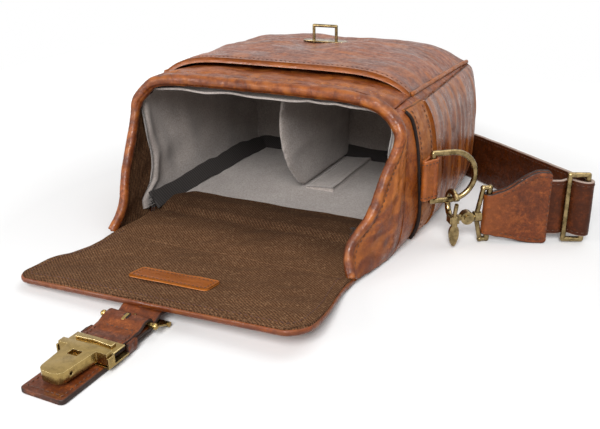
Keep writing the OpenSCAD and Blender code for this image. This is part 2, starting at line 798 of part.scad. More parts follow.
// Gate: a knuckle on the pin, a bar that closes the eye and a thumb lever
module gate(side) {
    tip = (eye_r - 0.6) * [cos(gap_to - 15), sin(gap_to - 15)];
    bar = tip - gate_at;
    lever_z = lift + 1 - eye_z;
    lever = [7.4, 2.2];
    neck_low = gate_at[1] - 6;
    color(brass) at_eye(side) {
        difference() {
            union() {
                translate([0, gate_at[0], gate_at[1]]) rotate([0, 90, 0])
                    cylinder(h = knuckle_l, d = knuckle_d, center = true);
                translate([0, gate_at[0], gate_at[1]]) rotate([-atan2(bar[0], bar[1]), 0, 0])
                    cylinder(h = norm(bar), d = gate_d);
                translate([-knuckle_l / 2, gate_at[0], neck_low])
                    cube([knuckle_l, lever[1], gate_at[1] - neck_low]);
                translate([0, gate_at[0], 0]) rotate([90, 0, 180]) linear_extrude(lever[1])
                    polygon([for (a = [0:20:340]) [lever[0] / 2 * sin(a) * (1 + 0.25 * cos(a)),
                        (lever_z + neck_low + 2) / 2 + (neck_low + 2 - lever_z) / 2 * cos(a)]]);
            }
            translate([0, gate_at[0], gate_at[1]]) rotate([0, 90, 0])
                cylinder(h = 3 * knuckle_l, d = gate_pin_d + 2 * fit, center = true);
        }
    }
}

// Frame that carries the chape: a collar on the swivel post, two arms, two short legs and an upright bar
module frame(side) {
    bar_h = frame_in + hook_d;
    arm_d = hook_d - 0.8;
    low = frame_z - eye_z;
    collar_z = -eye_r;
    color(brass) at_eye(side) {
        difference() {
            translate([swivel_x, 0, collar_z]) rotate([0, 90, 0]) cylinder(h = 5, d = swivel_d + 4);
            translate([swivel_x - 5, 0, collar_z]) rotate([0, 90, 0])
                cylinder(h = 20, d = swivel_d + 2 * fit);
        }
        translate([frame_at, 0, low]) cylinder(h = bar_h, d = hook_d, center = true);
        for (end = [-1, 1]) {
            start = [swivel_x + 2.5, collar_z + end * (swivel_d / 2 + 1.2)];
            knee = [swivel_x + 6, low + end * bar_h / 2];
            arm = knee - start;
            translate([frame_at, 0, knee[1]]) sphere(d = hook_d);
            translate([knee[0], 0, knee[1]]) sphere(d = hook_d);
            translate([knee[0], 0, knee[1]]) rotate([0, 90, 0]) cylinder(h = frame_at - knee[0], d = arm_d);
            translate([start[0], 0, start[1]]) rotate([0, atan2(arm[0], arm[1]), 0])
                cylinder(h = norm(arm), d = arm_d);
        }
    }
}

// Outline of a chape seen from its face: narrow at the frame, wide at its end
module chape_face() {
    narrow = frame_in - 3;
    mid = frame_z;
    tip = narrow / 4;
    polygon([[-6, mid - tip], [0, mid - narrow / 2 + 1], [8, mid - narrow / 2 - 1], [chape_len - 6, lift],
        [chape_len, lift + 1.5], [chape_len, lift + chape_h - 1.5], [chape_len - 6, lift + chape_h],
        [8, mid + narrow / 2 + 1], [0, mid + narrow / 2 - 1], [-6, mid + tip]]);
}

// Leather folded round the frame's bar, its two leaves holding the strap's end
module chape(side) {
    hole = hook_d / 2 + fit;
    inner = strap_t / 2 + seat;
    color(leather) translate(concat(frame_bar(side), 0)) rotate([0, 0, turns(side)[2]]) intersection() {
        linear_extrude(2 * chape_h) difference() {
            union() {
                circle(r = hole + leaf_t);
                for (face = [-1, 1])
                    translate([0, face > 0 ? inner : -inner - leaf_t]) square([chape_len, leaf_t]);
            }
            circle(r = hole);
        }
        rotate([90, 0, 0]) linear_extrude(40, center = true) chape_face();
    }
}

module at_chape(side, along) {
    way = turns(side)[2];
    translate(concat(frame_bar(side) + along * ahead(way), 0)) rotate([0, 0, way]) children();
}

strap_mid = lift + chape_h / 2;
slider_h = strap_w + 2 * slider_d;

// Wire slider: two upright bars joined at the top and at the bottom
module slider() {
    color(brass) at_chape(1, slider_at) for (x = [0, slider_l]) {
        translate([x, 0, strap_mid]) cylinder(h = slider_h, d = slider_d, center = true);
        for (end = [-1, 1]) {
            translate([x, 0, strap_mid + end * slider_h / 2]) sphere(d = slider_d);
            translate([0, 0, strap_mid + end * slider_h / 2]) rotate([0, 90, 0])
                cylinder(h = slider_l, d = slider_d);
        }
    }
}

// Shoulder strap, standing on its edge

// Halves the corners of a path by cutting each one
function cut_corners(path, times) = times == 0 ? path : cut_corners(concat([path[0]],
    [for (i = [0:len(path) - 2]) let (a = path[i], b = path[i + 1])
        each [0.75 * a + 0.25 * b, 0.25 * a + 0.75 * b]],
    [path[len(path) - 1]]), times - 1);

// Points of the route as x, y and the height of the strap's lower edge
strap_low = strap_mid - strap_w / 2;
function slide_point(s, n) = concat(frame_bar(1) + (slider_at + s) * ahead(right_turns[2])
    + n * ahead(right_turns[2] + 90), strap_low);
function chape_point(side, s) = concat(frame_bar(side) + s * ahead(turns(side)[2]), strap_low);

// Way round the slider: behind its near bar, across, round its far bar and back
past = slider_d / 2 + strap_t / 2 + 0.5;
round_slider = [slide_point(-5, 0), slide_point(-1, past), slide_point(2, past),
    slide_point(slider_l - 4, -past), slide_point(slider_l + 1, -past - 0.6),
    slide_point(slider_l + past, -1), slide_point(slider_l + past - 1, past),
    slide_point(slider_l - 4, past + 8)];
// Way behind the bag: past the rear corner, in three layers, and forward along the left side
rear_y = half_d + 10;
layer = 9;
behind = [[half_w + 16, half_d - 2], [half_w - 8, rear_y], [0, rear_y], [-half_w + 10, rear_y],
    [-half_w - 4, rear_y + layer / 2], [-half_w + 10, rear_y + layer], [0, rear_y + layer],
    [half_w - 34, rear_y + layer], [half_w - 20, rear_y + 1.5 * layer], [half_w - 34, rear_y + 2 * layer],
    [0, rear_y + 2 * layer], [-half_w + 10, rear_y + 2 * layer], [-half_w - 28, rear_y + layer],
    [-half_w - 29, half_d - 20]];
route = concat([chape_point(1, 22), chape_point(1, chape_len + 4)], round_slider,
    [for (p = behind) concat(p, lift)], [chape_point(-1, chape_len + 25), chape_point(-1, 22)]);
strap_path = cut_corners(route, 3);

module shoulder_strap() {
    n = len(strap_path);
    normal = [for (i = [0:n - 1]) let (d = strap_path[min(n - 1, i + 1)] - strap_path[max(0, i - 1)])
        [-d[1], d[0], 0] / norm([d[0], d[1]])];
    points = [for (i = [0:n - 1]) each [for (c = [[1, 0], [1, 1], [-1, 1], [-1, 0]])
        strap_path[i] + c[0] * strap_t / 2 * normal[i] + [0, 0, c[1] * strap_w]]];
    faces = concat([for (i = [0:n - 2]) for (k = [0:3]) let (a = 4 * i + k, b = 4 * i + (k + 1) % 4)
        each [[a, b, b + 4], [a, b + 4, a + 4]]],
        [[0, 2, 1], [0, 3, 2]], [[4 * n - 4, 4 * n - 3, 4 * n - 2], [4 * n - 4, 4 * n - 2, 4 * n - 1]]);
    color(dark_leather) polyhedron(points, faces, convexity = 10);
}

back_panel();
back_foam();
back_lining();
mouth_facing();
front_panel();
front_foam();
front_lining();
side_panel(1);  // side_panel_right
side_panel(-1);  // side_panel_left
side_foam(1);  // side_foam_right
side_foam(-1);  // side_foam_left
side_lining(1);  // side_lining_right
side_lining(-1);  // side_lining_left
bottom_panel();
bottom_foam();
bottom_lining();
mouth_rim();
gusset(1);  // gusset_right
gusset(-1);  // gusset_left
edge_tape();
front_pocket();
side_strip(1);  // side_strip_right
side_strip(-1);  // side_strip_left
side_pocket(1);  // side_pocket_right
side_pocket(-1);  // side_pocket_left
ring_tab(1);  // ring_tab_right
ring_tab(-1);  // ring_tab_left
staple_plate();
lock_staple();
divider();
divider_tab();
flap_leather();
flap_lining();
label_patch();
lap_leather();
lap_lining();
billet();
billet_tail();
buckle_frame();
buckle_prong();
keeper();
lock_strap();
lock_plate();
lock_spring();
lock_front();
lock_pin();
pull_tab();
lock_tongue();
ring(1);  // ring_right
ring(-1);  // ring_left
hook(1);  // hook_right
hook(-1);  // hook_left
gate(1);  // gate_right
gate(-1);  // gate_left
frame(1);  // frame_right
frame(-1);  // frame_left
chape(1);  // chape_right
chape(-1);  // chape_left
slider();
shoulder_strap();
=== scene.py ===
"""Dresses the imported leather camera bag: worn pull-up leather, twill flap, grey padded lining and aged brass.

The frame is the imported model's: +X right along the mouth, +Y from the mouth into the bag, +Z up, in metres.
"""
import logging
from dataclasses import dataclass, field
from enum import Enum
from typing import Callable, Iterable, Sequence

import bmesh
import bpy
import numpy as np
from mathutils import Matrix


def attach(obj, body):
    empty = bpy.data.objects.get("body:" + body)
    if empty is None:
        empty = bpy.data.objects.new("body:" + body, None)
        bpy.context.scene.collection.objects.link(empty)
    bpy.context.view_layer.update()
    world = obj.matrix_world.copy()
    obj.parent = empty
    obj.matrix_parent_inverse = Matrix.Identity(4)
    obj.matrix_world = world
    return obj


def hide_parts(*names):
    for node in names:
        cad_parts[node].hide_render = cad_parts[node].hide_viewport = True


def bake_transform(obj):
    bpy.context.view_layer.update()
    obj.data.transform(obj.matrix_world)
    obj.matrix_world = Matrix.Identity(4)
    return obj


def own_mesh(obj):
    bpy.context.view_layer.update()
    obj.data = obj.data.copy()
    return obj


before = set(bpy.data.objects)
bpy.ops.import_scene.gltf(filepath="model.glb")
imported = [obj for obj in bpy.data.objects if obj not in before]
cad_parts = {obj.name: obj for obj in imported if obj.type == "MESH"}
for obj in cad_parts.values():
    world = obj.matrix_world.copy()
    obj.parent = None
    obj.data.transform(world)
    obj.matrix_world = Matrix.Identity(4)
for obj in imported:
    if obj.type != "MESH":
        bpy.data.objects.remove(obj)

log = logging.getLogger("camera_bag")
MM = 0.001
TINY = 1e-9
Array = np.ndarray
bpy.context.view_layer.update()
UP = np.array([0.0, 0.0, 1.0])
ALONG_X = np.array([1.0, 0.0, 0.0])
ALONG_Y = np.array([0.0, 1.0, 0.0])


class Side(Enum):
    """The two sides of the bag, with the sign of their X."""

    RIGHT = 1
    LEFT = -1

    @property
    def word(self) -> str:
        """The side's name in node names."""
        return self.name.lower()


# Arrays and meshes


def unit(v: Array) -> Array:
    """Vectors along the last axis, scaled to length 1."""
    return v / np.maximum(np.linalg.norm(v, axis=-1, keepdims=True), TINY)


def smooth(t: Array) -> Array:
    """Smooth step from 0 to 1 as t goes from 0 to 1."""
    t = np.clip(t, 0.0, 1.0)
    return t * t * (3.0 - 2.0 * t)


def bell(t: Array, middle: float, width: float) -> Array:
    """Bell curve: 1 at its middle, e to the power -1 at its width from there."""
    return np.exp(-((t - middle) / width) ** 2)


def round_off(past: Array, radius: float) -> Array:
    """How far a quarter circle has turned in, from how far a place is past its start."""
    drop = np.clip(past / radius, 0, 1)
    return radius * (1 - np.sqrt(np.maximum(0, 1 - drop ** 2)))


def grid(first: tuple, second: tuple, scale: float = 1.0) -> tuple[Array, Array]:
    """Two parameters on a grid, each given as start, end and count, and multiplied by a scale."""
    lines = [np.linspace(*ends) * scale for ends in (first, second)]
    return tuple(np.meshgrid(*lines, indexing="ij"))


def xyz(x: Array | float, y: Array | float, z: Array | float) -> Array:
    """Points from their three coordinates, spread to one shape."""
    return np.stack(np.broadcast_arrays(x, y, z), -1)


def waves(a: Array, b: Array | float, length: float, seed: int, count: int = 9) -> Array:
    """Soft random relief: a sum of plane sine waves with seeded directions, rates and phases.

    Args:
        a: first coordinate, metres.
        b: second coordinate, metres.
        length: middle wavelength, metres.
        seed: seed of the wave set.
        count: number of waves.
    Returns:
        Relief of unit variance on the broadcast shape of a and b.
    """
    rng = np.random.default_rng(seed)
    turn = rng.uniform(0, 2 * np.pi, count)
    phase = rng.uniform(0, 2 * np.pi, count)
    rate = 2 * np.pi / length * rng.uniform(0.6, 1.6, count)
    a, b = np.broadcast_arrays(a, b)
    angle = rate * (a[..., None] * np.cos(turn) + b[..., None] * np.sin(turn)) + phase
    return np.sin(angle).sum(-1) * np.sqrt(2.0 / count)


def creases(a: Array, b: Array, length: float, seed: int) -> Array:
    """Thin valley lines where a soft relief crosses zero, 1 in the valley and 0 away from it."""
    valley = 0.22
    return bell(waves(a, b, length, seed), 0.0, valley)


def arc_lengths(path: Array) -> Array:
    """Length gone at each point of a polyline, 0 at its start."""
    return np.concatenate([[0.0], np.cumsum(np.linalg.norm(np.diff(path, axis=0), axis=1))])


def between(at: Array, known: Array, values: Array) -> Array:
    """Rows of values at places between known ones, each column in straight lines."""
    return np.stack([np.interp(at, known, column) for column in values.T], -1)


def resample(path: Array, count: int) -> Array:
    """Points at even arc lengths along a polyline, shape (count, columns of the path)."""
    gone = arc_lengths(path)
    return between(np.linspace(0.0, gone[-1], count), gone, path)


def cut_corners(path: Array, times: int) -> Array:
    """Rounds a polyline by cutting each corner at a quarter and three quarters of its legs.

    Args:
        path: points, shape (n, k).
        times: how often every corner is cut.
    Returns:
        The rounded polyline.
    """
    for _ in range(times):
        a, b = path[:-1], path[1:]
        inner = np.stack([0.75 * a + 0.25 * b, 0.25 * a + 0.75 * b], 1).reshape(-1, path.shape[1])
        path = np.concatenate([path[:1], inner, path[-1:]])
    return path


def eased(path: Array, times: int) -> Array:
    """Softens a polyline: each inner point becomes half itself and a quarter of each neighbour.

    Args:
        path: points, shape (n, k).
        times: number of passes.
    Returns:
        The softened polyline.
    """
    path = path.copy()
    for _ in range(times):
        path[1:-1] = (path[:-2] + 2 * path[1:-1] + path[2:]) / 4
    return path


def grid_quads(rows: int, columns: int, wrap: bool = False) -> Array:
    """Quads of a grid of points stored row by row.

    Args:
        rows: points along the first parameter.
        columns: points along the second parameter.
        wrap: joins the last column to the first.
    Returns:
        Index array of shape (n, 4).
    """
    i, j = np.meshgrid(np.arange(rows - 1), np.arange(columns if wrap else columns - 1), indexing="ij")
    here, below = i * columns, (i + 1) * columns
    after = (j + 1) % columns
    return np.stack([here + j, below + j, below + after, here + after], -1).reshape(-1, 4)


def tube_faces(rows: int, columns: int) -> list:
    """Faces of a closed section carried along a path, with a face at each end."""
    ends = [list(range(columns)), list(range((rows - 1) * columns, rows * columns))[::-1]]
    return grid_quads(rows, columns, True).tolist() + ends


@dataclass
class Piece:
    """A finished surface on its way to becoming a Blender object."""

    name: str
    points: Array
    faces: list
    marks: dict = field(default_factory=dict)

    def build(self, finish: "Finish", body: str | None, slot: str,
              replaces: Sequence[str] = ()) -> bpy.types.Object:
        """Makes the object, dresses it and hangs it on a body.

        Args:
            finish: what the surface is made of.
            body: CAD body that the piece rides on, or None.
            slot: not used.
            replaces: CAD nodes that the piece stands for.
        Returns:
            The new object, at the origin.
        """
        mesh = bpy.data.meshes.new(self.name)
        mesh.from_pydata(self.points.reshape(-1, 3).tolist(), [], self.faces)
        mesh.polygons.foreach_set("use_smooth", np.ones(len(mesh.polygons), bool))
        for name, values in self.marks.items():
            spread = np.broadcast_to(values, self.points.shape[:-1])
            mark = mesh.attributes.new(name, "FLOAT", "POINT")
            mark.data.foreach_set("value", np.ascontiguousarray(spread, np.float32).ravel())
        mesh.materials.append(finish.material())
        mesh.update()
        made = bpy.data.objects.new(self.name, mesh)
        bpy.context.scene.collection.objects.link(made)
        if body is not None:
            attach(made, body)
        if replaces:
            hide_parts(*replaces)
        log.info("%s: %d faces", self.name, len(mesh.polygons))
        return made


def plate(name: str, top: Array, under: Array, round_by: float, marks: dict | None = None,
          flip: bool = False) -> Piece:
    """Closed plate between two surfaces on one grid, its four edges rounded over a middle line.

    Args:
        name: piece name.
        top: outer surface, shape (rows, columns, 3).
        under: inner surface, same shape.
        round_by: how far the two surfaces draw back from the edge, metres.
        marks: values per grid point, used on both surfaces and on the edge; a mark left out is 0.
        flip: runs the rows backwards, so that the faces point the other way.
    Returns:
        The piece.
    """
    most_of_cell = 0.8
    rows, columns = top.shape[:2]
    order = -1 if flip else 1
    index = np.arange(rows * columns).reshape(rows, columns)
    ring = np.concatenate([index[:-1, 0], index[-1, :-1], index[:0:-1, -1], index[0, :0:-1]])
    inner_row = np.clip(np.arange(rows), 1, rows - 2)
    inner_column = np.clip(np.arange(columns), 1, columns - 2)
    inner = (inner_row[:, None] * columns + inner_column).ravel()
    top, under = (face[::order].reshape(-1, 3).copy() for face in (top, under))
    middle = (top[ring] + under[ring]) / 2
    for face in (top, under):
        to_inside = face[inner[ring]] - face[ring]
        reach = np.linalg.norm(to_inside, axis=1, keepdims=True)
        face[ring] += to_inside * np.minimum(most_of_cell, round_by / np.maximum(reach, TINY))
    n, m = rows * columns, len(ring)
    upper = grid_quads(rows, columns)
    lower = upper[:, ::-1] + n
    here = np.arange(m)
    after = (here + 1) % m
    edge_up = np.stack([ring[after], ring, 2 * n + here, 2 * n + after], 1)
    edge_down = np.stack([2 * n + after, 2 * n + here, n + ring, n + ring[after]], 1)
    faces = np.concatenate([upper, lower, edge_up[:, ::-1], edge_down[:, ::-1]])
    values = {}
    for key, value in (marks or {}).items():
        flat = np.broadcast_to(value, (rows, columns))[::order].ravel()
        values[key] = np.concatenate([flat, flat, flat[ring]])
    return Piece(name, np.concatenate([top, under, middle]), faces.tolist(), values)


def rounded_section(width: Array, thick: Array, corner: float) -> tuple[Array, Array]:
    """Rounded rectangles as offsets across a strap and through it, with more points on the two wide faces.

    Args:
        width: strap width at each station.
        thick: strap thickness at each station.
        corner: share of the half thickness used as corner radius.
    Returns:
        Offsets across and through, each of shape (stations, points).
    """
    per_corner, per_face = 4, 9
    turn = np.linspace(0, np.pi / 2, per_corner)
    flat = np.linspace(1, -1, per_face + 2)[1:-1]
    half_w, half_t = width[:, None] / 2, thick[:, None] / 2
    radius = np.minimum(half_t * corner, half_w * 0.999)
    across, through = [], []
    for quarter, (sx, sz) in enumerate(((1, 1), (-1, 1), (-1, -1), (1, -1))):
        angle = turn + quarter * np.pi / 2
        across.append(sx * (half_w - radius) + radius * np.cos(angle))
        through.append(sz * (half_t - radius) + radius * np.sin(angle))
        if quarter % 2 == 0:
            across.append(sx * (half_w - radius) * flat)
            through.append(sz * half_t * np.ones(per_face))
    return np.concatenate(across, 1), np.concatenate(through, 1)


def ribbon(name: str, path: Array, across: Array, width: Array | float, thick: float,
           corner: float = 0.7, wave: tuple[float, float, int] = (0.0, 1.0, 0)) -> Piece:
    """Flat strap: a rounded rectangle carried along a path.

    Args:
        name: piece name.
        path: middle line, shape (n, 3).
        across: direction of the width, one vector or one per station.
        width: width, one value or one per station.
        thick: thickness.
        corner: share of the half thickness that is rounded.
        wave: height, wavelength and seed of soft waves added along the strap's normal.
    Returns:
        The piece; its mark "edge" is 1 on the narrow sides.
    """
    painted = 0.55 * MM
    n = len(path)
    across = unit(np.broadcast_to(across, (n, 3)).astype(float))
    normal = unit(np.cross(unit(np.gradient(path, axis=0)), across))
    width = np.broadcast_to(width, n).astype(float)
    a, t = rounded_section(width, np.full(n, thick), corner)
    height, length, seed = wave
    t = t + height * waves(arc_lengths(path)[:, None], a, length, seed)
    points = path[:, None] + a[..., None] * across[:, None] + t[..., None] * normal[:, None]
    edge = np.abs(a) > np.maximum(width[:, None] / 2 - painted, 0.0)
    return Piece(name, points, tube_faces(n, a.shape[1]), {"edge": edge})


def roll(name: str, path: Array, first: Array, size_first: Array | float, size_second: Array | float,
         sides: int = 20, relief: Array | float = 0.0, power: float = 1.0) -> Piece:
    """Round cord of leather: an oval carried along a path.

    Args:
        name: piece name.
        path: middle line, shape (n, 3).
        first: direction of the oval's first axis at each station.
        size_first: half size along it.
        size_second: half size along the other axis.
        sides: points round the oval.
        relief: share added to the sizes, shape (n, sides) or one value.
        power: below 1 makes the oval squarer.
    Returns:
        The piece, closed at both ends.
    """
    n = len(path)
    ahead = unit(np.gradient(path, axis=0))
    first = np.broadcast_to(first, (n, 3))
    first = unit(first - ahead * (first * ahead).sum(1, keepdims=True))
    second = np.cross(ahead, first)
    turn = np.linspace(0, 2 * np.pi, sides, endpoint=False)
    c, s = (np.sign(wave) * np.abs(wave) ** power for wave in (np.cos(turn), np.sin(turn)))
    grow = 1.0 + np.broadcast_to(relief, (n, sides))
    a = np.broadcast_to(size_first, n)[:, None] * c * grow
    b = np.broadcast_to(size_second, n)[:, None] * s * grow
    points = path[:, None] + a[..., None] * first[:, None] + b[..., None] * second[:, None]
    return Piece(name, points, tube_faces(n, sides))


def stitches(name: str, runs: Iterable[tuple[Array, Array]], length: float = 2.6 * MM, gap: float = 1.3 * MM,
             thick: float = 0.75 * MM) -> Piece:
    """Rows of sewn stitches: one small spindle of thread for each stitch, sunk a little at both ends.

    Args:
        name: piece name.
        runs: pairs of a path on the surface and the surface's normals along it.
        length: length of one stitch.
        gap: space between two stitches.
        thick: width of the thread.
    Returns:
        One piece that holds every stitch.
    """
    sides = 6
    turn = np.linspace(0, 2 * np.pi, sides, endpoint=False)
    along = np.array([-0.5, -0.36, 0.0, 0.36, 0.5])[:, None] * length
    girth = np.array([0.35, 0.85, 1.0, 0.85, 0.35])[:, None] * thick / 2
    sink = np.array([-0.55, 0.1, 0.35, 0.1, -0.55])[:, None] * thick
    spindle = xyz(along, girth * np.cos(turn), girth * np.sin(turn) * 0.8 + sink).reshape(-1, 3)
    quads = grid_quads(len(along), sides, True)
    points, faces, start = [], [], 0
    for path, normal in runs:
        gone = arc_lengths(path)
        count = max(1, int(gone[-1] / (length + gap)))
        at = (np.arange(count) + 0.5) * gone[-1] / count
        ahead = unit(between(at, gone, np.gradient(path, axis=0)))
        up = unit(between(at, gone, np.broadcast_to(normal, path.shape)))
        aside = unit(np.cross(up, ahead))
        axes = np.stack([ahead, aside, np.cross(ahead, aside)], 1)
        points.append((between(at, gone, path)[:, None] + spindle @ axes).reshape(-1, 3))
        index = (start + np.arange(count) * len(spindle))[:, None, None] + quads
        faces.append(index.reshape(-1, 4))
        start += count * len(spindle)
    return Piece(name, np.concatenate(points), np.concatenate(faces).tolist())


# Finishes

# A wave texture of scale 1 repeats every 0.314 of its unit.
BAND_PITCH = 0.314


def linear(code: str) -> tuple[float, float, float, float]:
    """Linear colour of an sRGB hex value.

    Args:
        code: colour as six hex digits after a hash sign.
    Returns:
        Red, green, blue and alpha.
    """
    c = np.array([int(code[i:i + 2], 16) for i in (1, 3, 5)]) / 255
    c = np.where(c <= 0.04045, c / 12.92, ((c + 0.055) / 1.055) ** 2.4)
    return (*c.tolist(), 1.0)


def per_mm(size: float) -> float:
    """Scale of a pattern whose features have a size in millimetres."""
    return 1 / (size * MM)


def add_node(tree: bpy.types.NodeTree, kind: str, settings: dict | None = None, links: dict | None = None,
             **inputs: object) -> bpy.types.Node:
    """Adds a node, sets it up and links it.

    Args:
        tree: node tree of a material or world.
        kind: node type without its prefix.
        settings: properties of the node.
        links: input name or number to what feeds it: a socket, a node's first output or a plain value.
        inputs: values of sockets, by name with _ for spaces.
    Returns:
        The node.
    """
    node = tree.nodes.new("ShaderNode" + kind)
    for key, value in (settings or {}).items():
        setattr(node, key, value)
    for key, value in inputs.items():
        node.inputs[key.replace("_", " ")].default_value = value
    for key, feed in (links or {}).items():
        if isinstance(feed, bpy.types.Node):
            feed = feed.outputs[0]
        if isinstance(feed, bpy.types.NodeSocket):
            tree.links.new(feed, node.inputs[key])
        else:
            node.inputs[key].default_value = feed
    return node


@dataclass(frozen=True)
class Layer:
    """A tint over a colour, which follows a pattern, or a mark of the mesh where the source is a word.

    As the source goes over its spread, the tint's share goes from its first value to its second one.
    """

    source: object
    tint: str
    spread: tuple[float, float] = (0.0, 1.0)
    share: tuple[float, float] = (0.0, 1.0)
    blend: str = "MIX"


class Finish:
    """A surface finish that makes its material once."""

    made: dict = {}

    def material(self) -> bpy.types.Material:
        """The finish's material, built at first use.

        Returns:
            The material.
        """
        if self.name not in Finish.made:
            material = bpy.data.materials.new(self.name)
            material.use_nodes = True
            material.node_tree.nodes.clear()
            shader = self.shade(material.node_tree)
            add_node(material.node_tree, "OutputMaterial", links={"Surface": shader})
            Finish.made[self.name] = material
        return Finish.made[self.name]

    def tinted(self, tree: bpy.types.NodeTree, base: str, layers: Iterable[Layer]) -> bpy.types.NodeSocket:
        """Colour of a base under layers of tints, each mixed in by its share.

        Args:
            tree: node tree.
            base: the lowest colour.
            layers: tints, from the lowest to the highest.
        Returns:
            The socket of the colour.
        """
        colour = linear(base)
        for layer in layers:
            source = layer.source
            if isinstance(source, str):
                source = add_node(tree, "Attribute", {"attribute_name": source}).outputs["Fac"]
            share = add_node(tree, "MapRange", links={"Value": source}, From_Min=layer.spread[0],
                             From_Max=layer.spread[1], To_Min=layer.share[0], To_Max=layer.share[1])
            # Inputs 6 and 7 and output 2 of a mixing node are its colours.
            mix = add_node(tree, "Mix", {"data_type": "RGBA", "blend_type": layer.blend},
                           {0: share, 6: colour, 7: linear(layer.tint)})
            colour = mix.outputs[2]
        return colour


@dataclass(frozen=True)
class Leather(Finish):
    """Waxed pull-up cowhide: a tumbled grain, colour that pales where it is bent, darker pools, satin wax.

    The pores are drawn much coarser than real ones, so that they show at the render's size.
    """

    name: str
    base: str
    pale: str
    dark: str
    edge: str
    rough: float = 0.46
    gloss: float = 0.5
    grain_mm: float = 1.3
    cloud_mm: float = 45.0
    streak_mm: float = 11.0
    mottle_mm: float = 4.2
    crumple_mm: float = 3.6
    pore_mm: float = 1.8
    streak: tuple[float, float, float] = (0.35, 1.0, 1.0)

    def shade(self, tree: bpy.types.NodeTree) -> bpy.types.Node:
        """Cloudy and streaky colour, worn and highlighted marks, painted shade and a pebbled bump.

        Args:
            tree: node tree.
        Returns:
            The shader node.
        """
        place = add_node(tree, "TexCoord").outputs["Object"]
        along = add_node(tree, "Mapping", links={"Vector": place}, Scale=self.streak)
        cloud, mottle, pores = (
            add_node(tree, "TexNoise", links={"Vector": place}, Scale=per_mm(size), Detail=detail,
                     Roughness=rough)
            for size, detail, rough in
            ((self.cloud_mm, 4.0, 0.6), (self.mottle_mm, 6.0, 0.8), (self.pore_mm, 4.0, 0.7)))
        streak = add_node(tree, "TexNoise", links={"Vector": along}, Scale=per_mm(self.streak_mm), Detail=5.0,
                          Roughness=0.65, Distortion=0.6)
        colour = self.tinted(tree, self.base, (
            Layer(cloud, self.dark, (0.34, 0.62), (0.65, 0.0)),
            Layer(streak, self.pale, (0.5, 0.78), (0.0, 0.6)),
            Layer(streak, self.dark, (0.44, 0.26), (0.0, 0.35)),
            Layer(mottle, self.dark, (0.48, 0.64), (0.0, 0.75)),
            Layer(mottle, self.pale, (0.46, 0.34), (0.0, 0.65)),
            Layer(pores, self.dark, (0.4, 0.68), (0.0, 0.5)),
            # The shade mark paints shade into the colour; the worn mark pales worn places and also paints some
            # highlights.
            Layer("shade", self.dark),
            Layer("wear", self.pale),
            Layer("edge", self.edge)))
        pebble = add_node(tree, "TexVoronoi", {"feature": "SMOOTH_F1"}, {"Vector": place},
                          Scale=per_mm(self.grain_mm), Smoothness=0.6)
        crumple = add_node(tree, "TexNoise", links={"Vector": along}, Scale=per_mm(self.crumple_mm),
                           Detail=4.0, Distortion=0.4)
        grain = add_node(tree, "Bump", links={"Height": pebble}, Strength=0.3, Distance=0.3 * MM)
        bump = add_node(tree, "Bump", links={"Height": crumple, "Normal": grain}, Strength=0.7,
                        Distance=0.7 * MM)
        worn = add_node(tree, "Math", {"operation": "ADD"}, {0: streak, 1: mottle})
        rough = add_node(tree, "MapRange", links={"Value": worn}, From_Min=0.8, From_Max=1.2,
                         To_Min=self.rough - 0.2, To_Max=self.rough + 0.24)
        return add_node(tree, "BsdfPrincipled",
                        links={"Base Color": colour, "Roughness": rough, "Normal": bump},
                        IOR=1.5, Specular_IOR_Level=self.gloss)


@dataclass(frozen=True)
class Suede(Finish):
    """Napped microfibre lining: matt, slightly furry, with a soft edge light.

    The nap is drawn at 1.2 mm, several times its real size, so that it shows at the render's size.
    """

    name: str
    base: str
    dark: str
    brush_mm: float = 20.0
    nap_mm: float = 1.2

    def shade(self, tree: bpy.types.NodeTree) -> bpy.types.Node:
        """Mottled nap with a sheen.

        Args:
            tree: node tree.
        Returns:
            The shader node.
        """
        place = add_node(tree, "TexCoord").outputs["Object"]
        nap, brushed = (
            add_node(tree, "TexNoise", links={"Vector": place}, Scale=per_mm(size), Detail=4.0,
                     Roughness=rough)
            for size, rough in ((self.nap_mm, 0.7), (self.brush_mm, 0.6)))
        colour = self.tinted(tree, self.base, (
            Layer(brushed, self.dark, (0.3, 0.7), (0.0, 0.35)),
            Layer(nap, self.dark, (0.38, 0.66), (0.0, 0.75)),
            Layer("shade", self.dark)))
        bump = add_node(tree, "Bump", links={"Height": nap}, Strength=0.3, Distance=0.35 * MM)
        return add_node(tree, "BsdfPrincipled", links={"Base Color": colour, "Normal": bump}, Roughness=0.95,
                        Sheen_Weight=0.25, Sheen_Roughness=0.5, IOR=1.45)


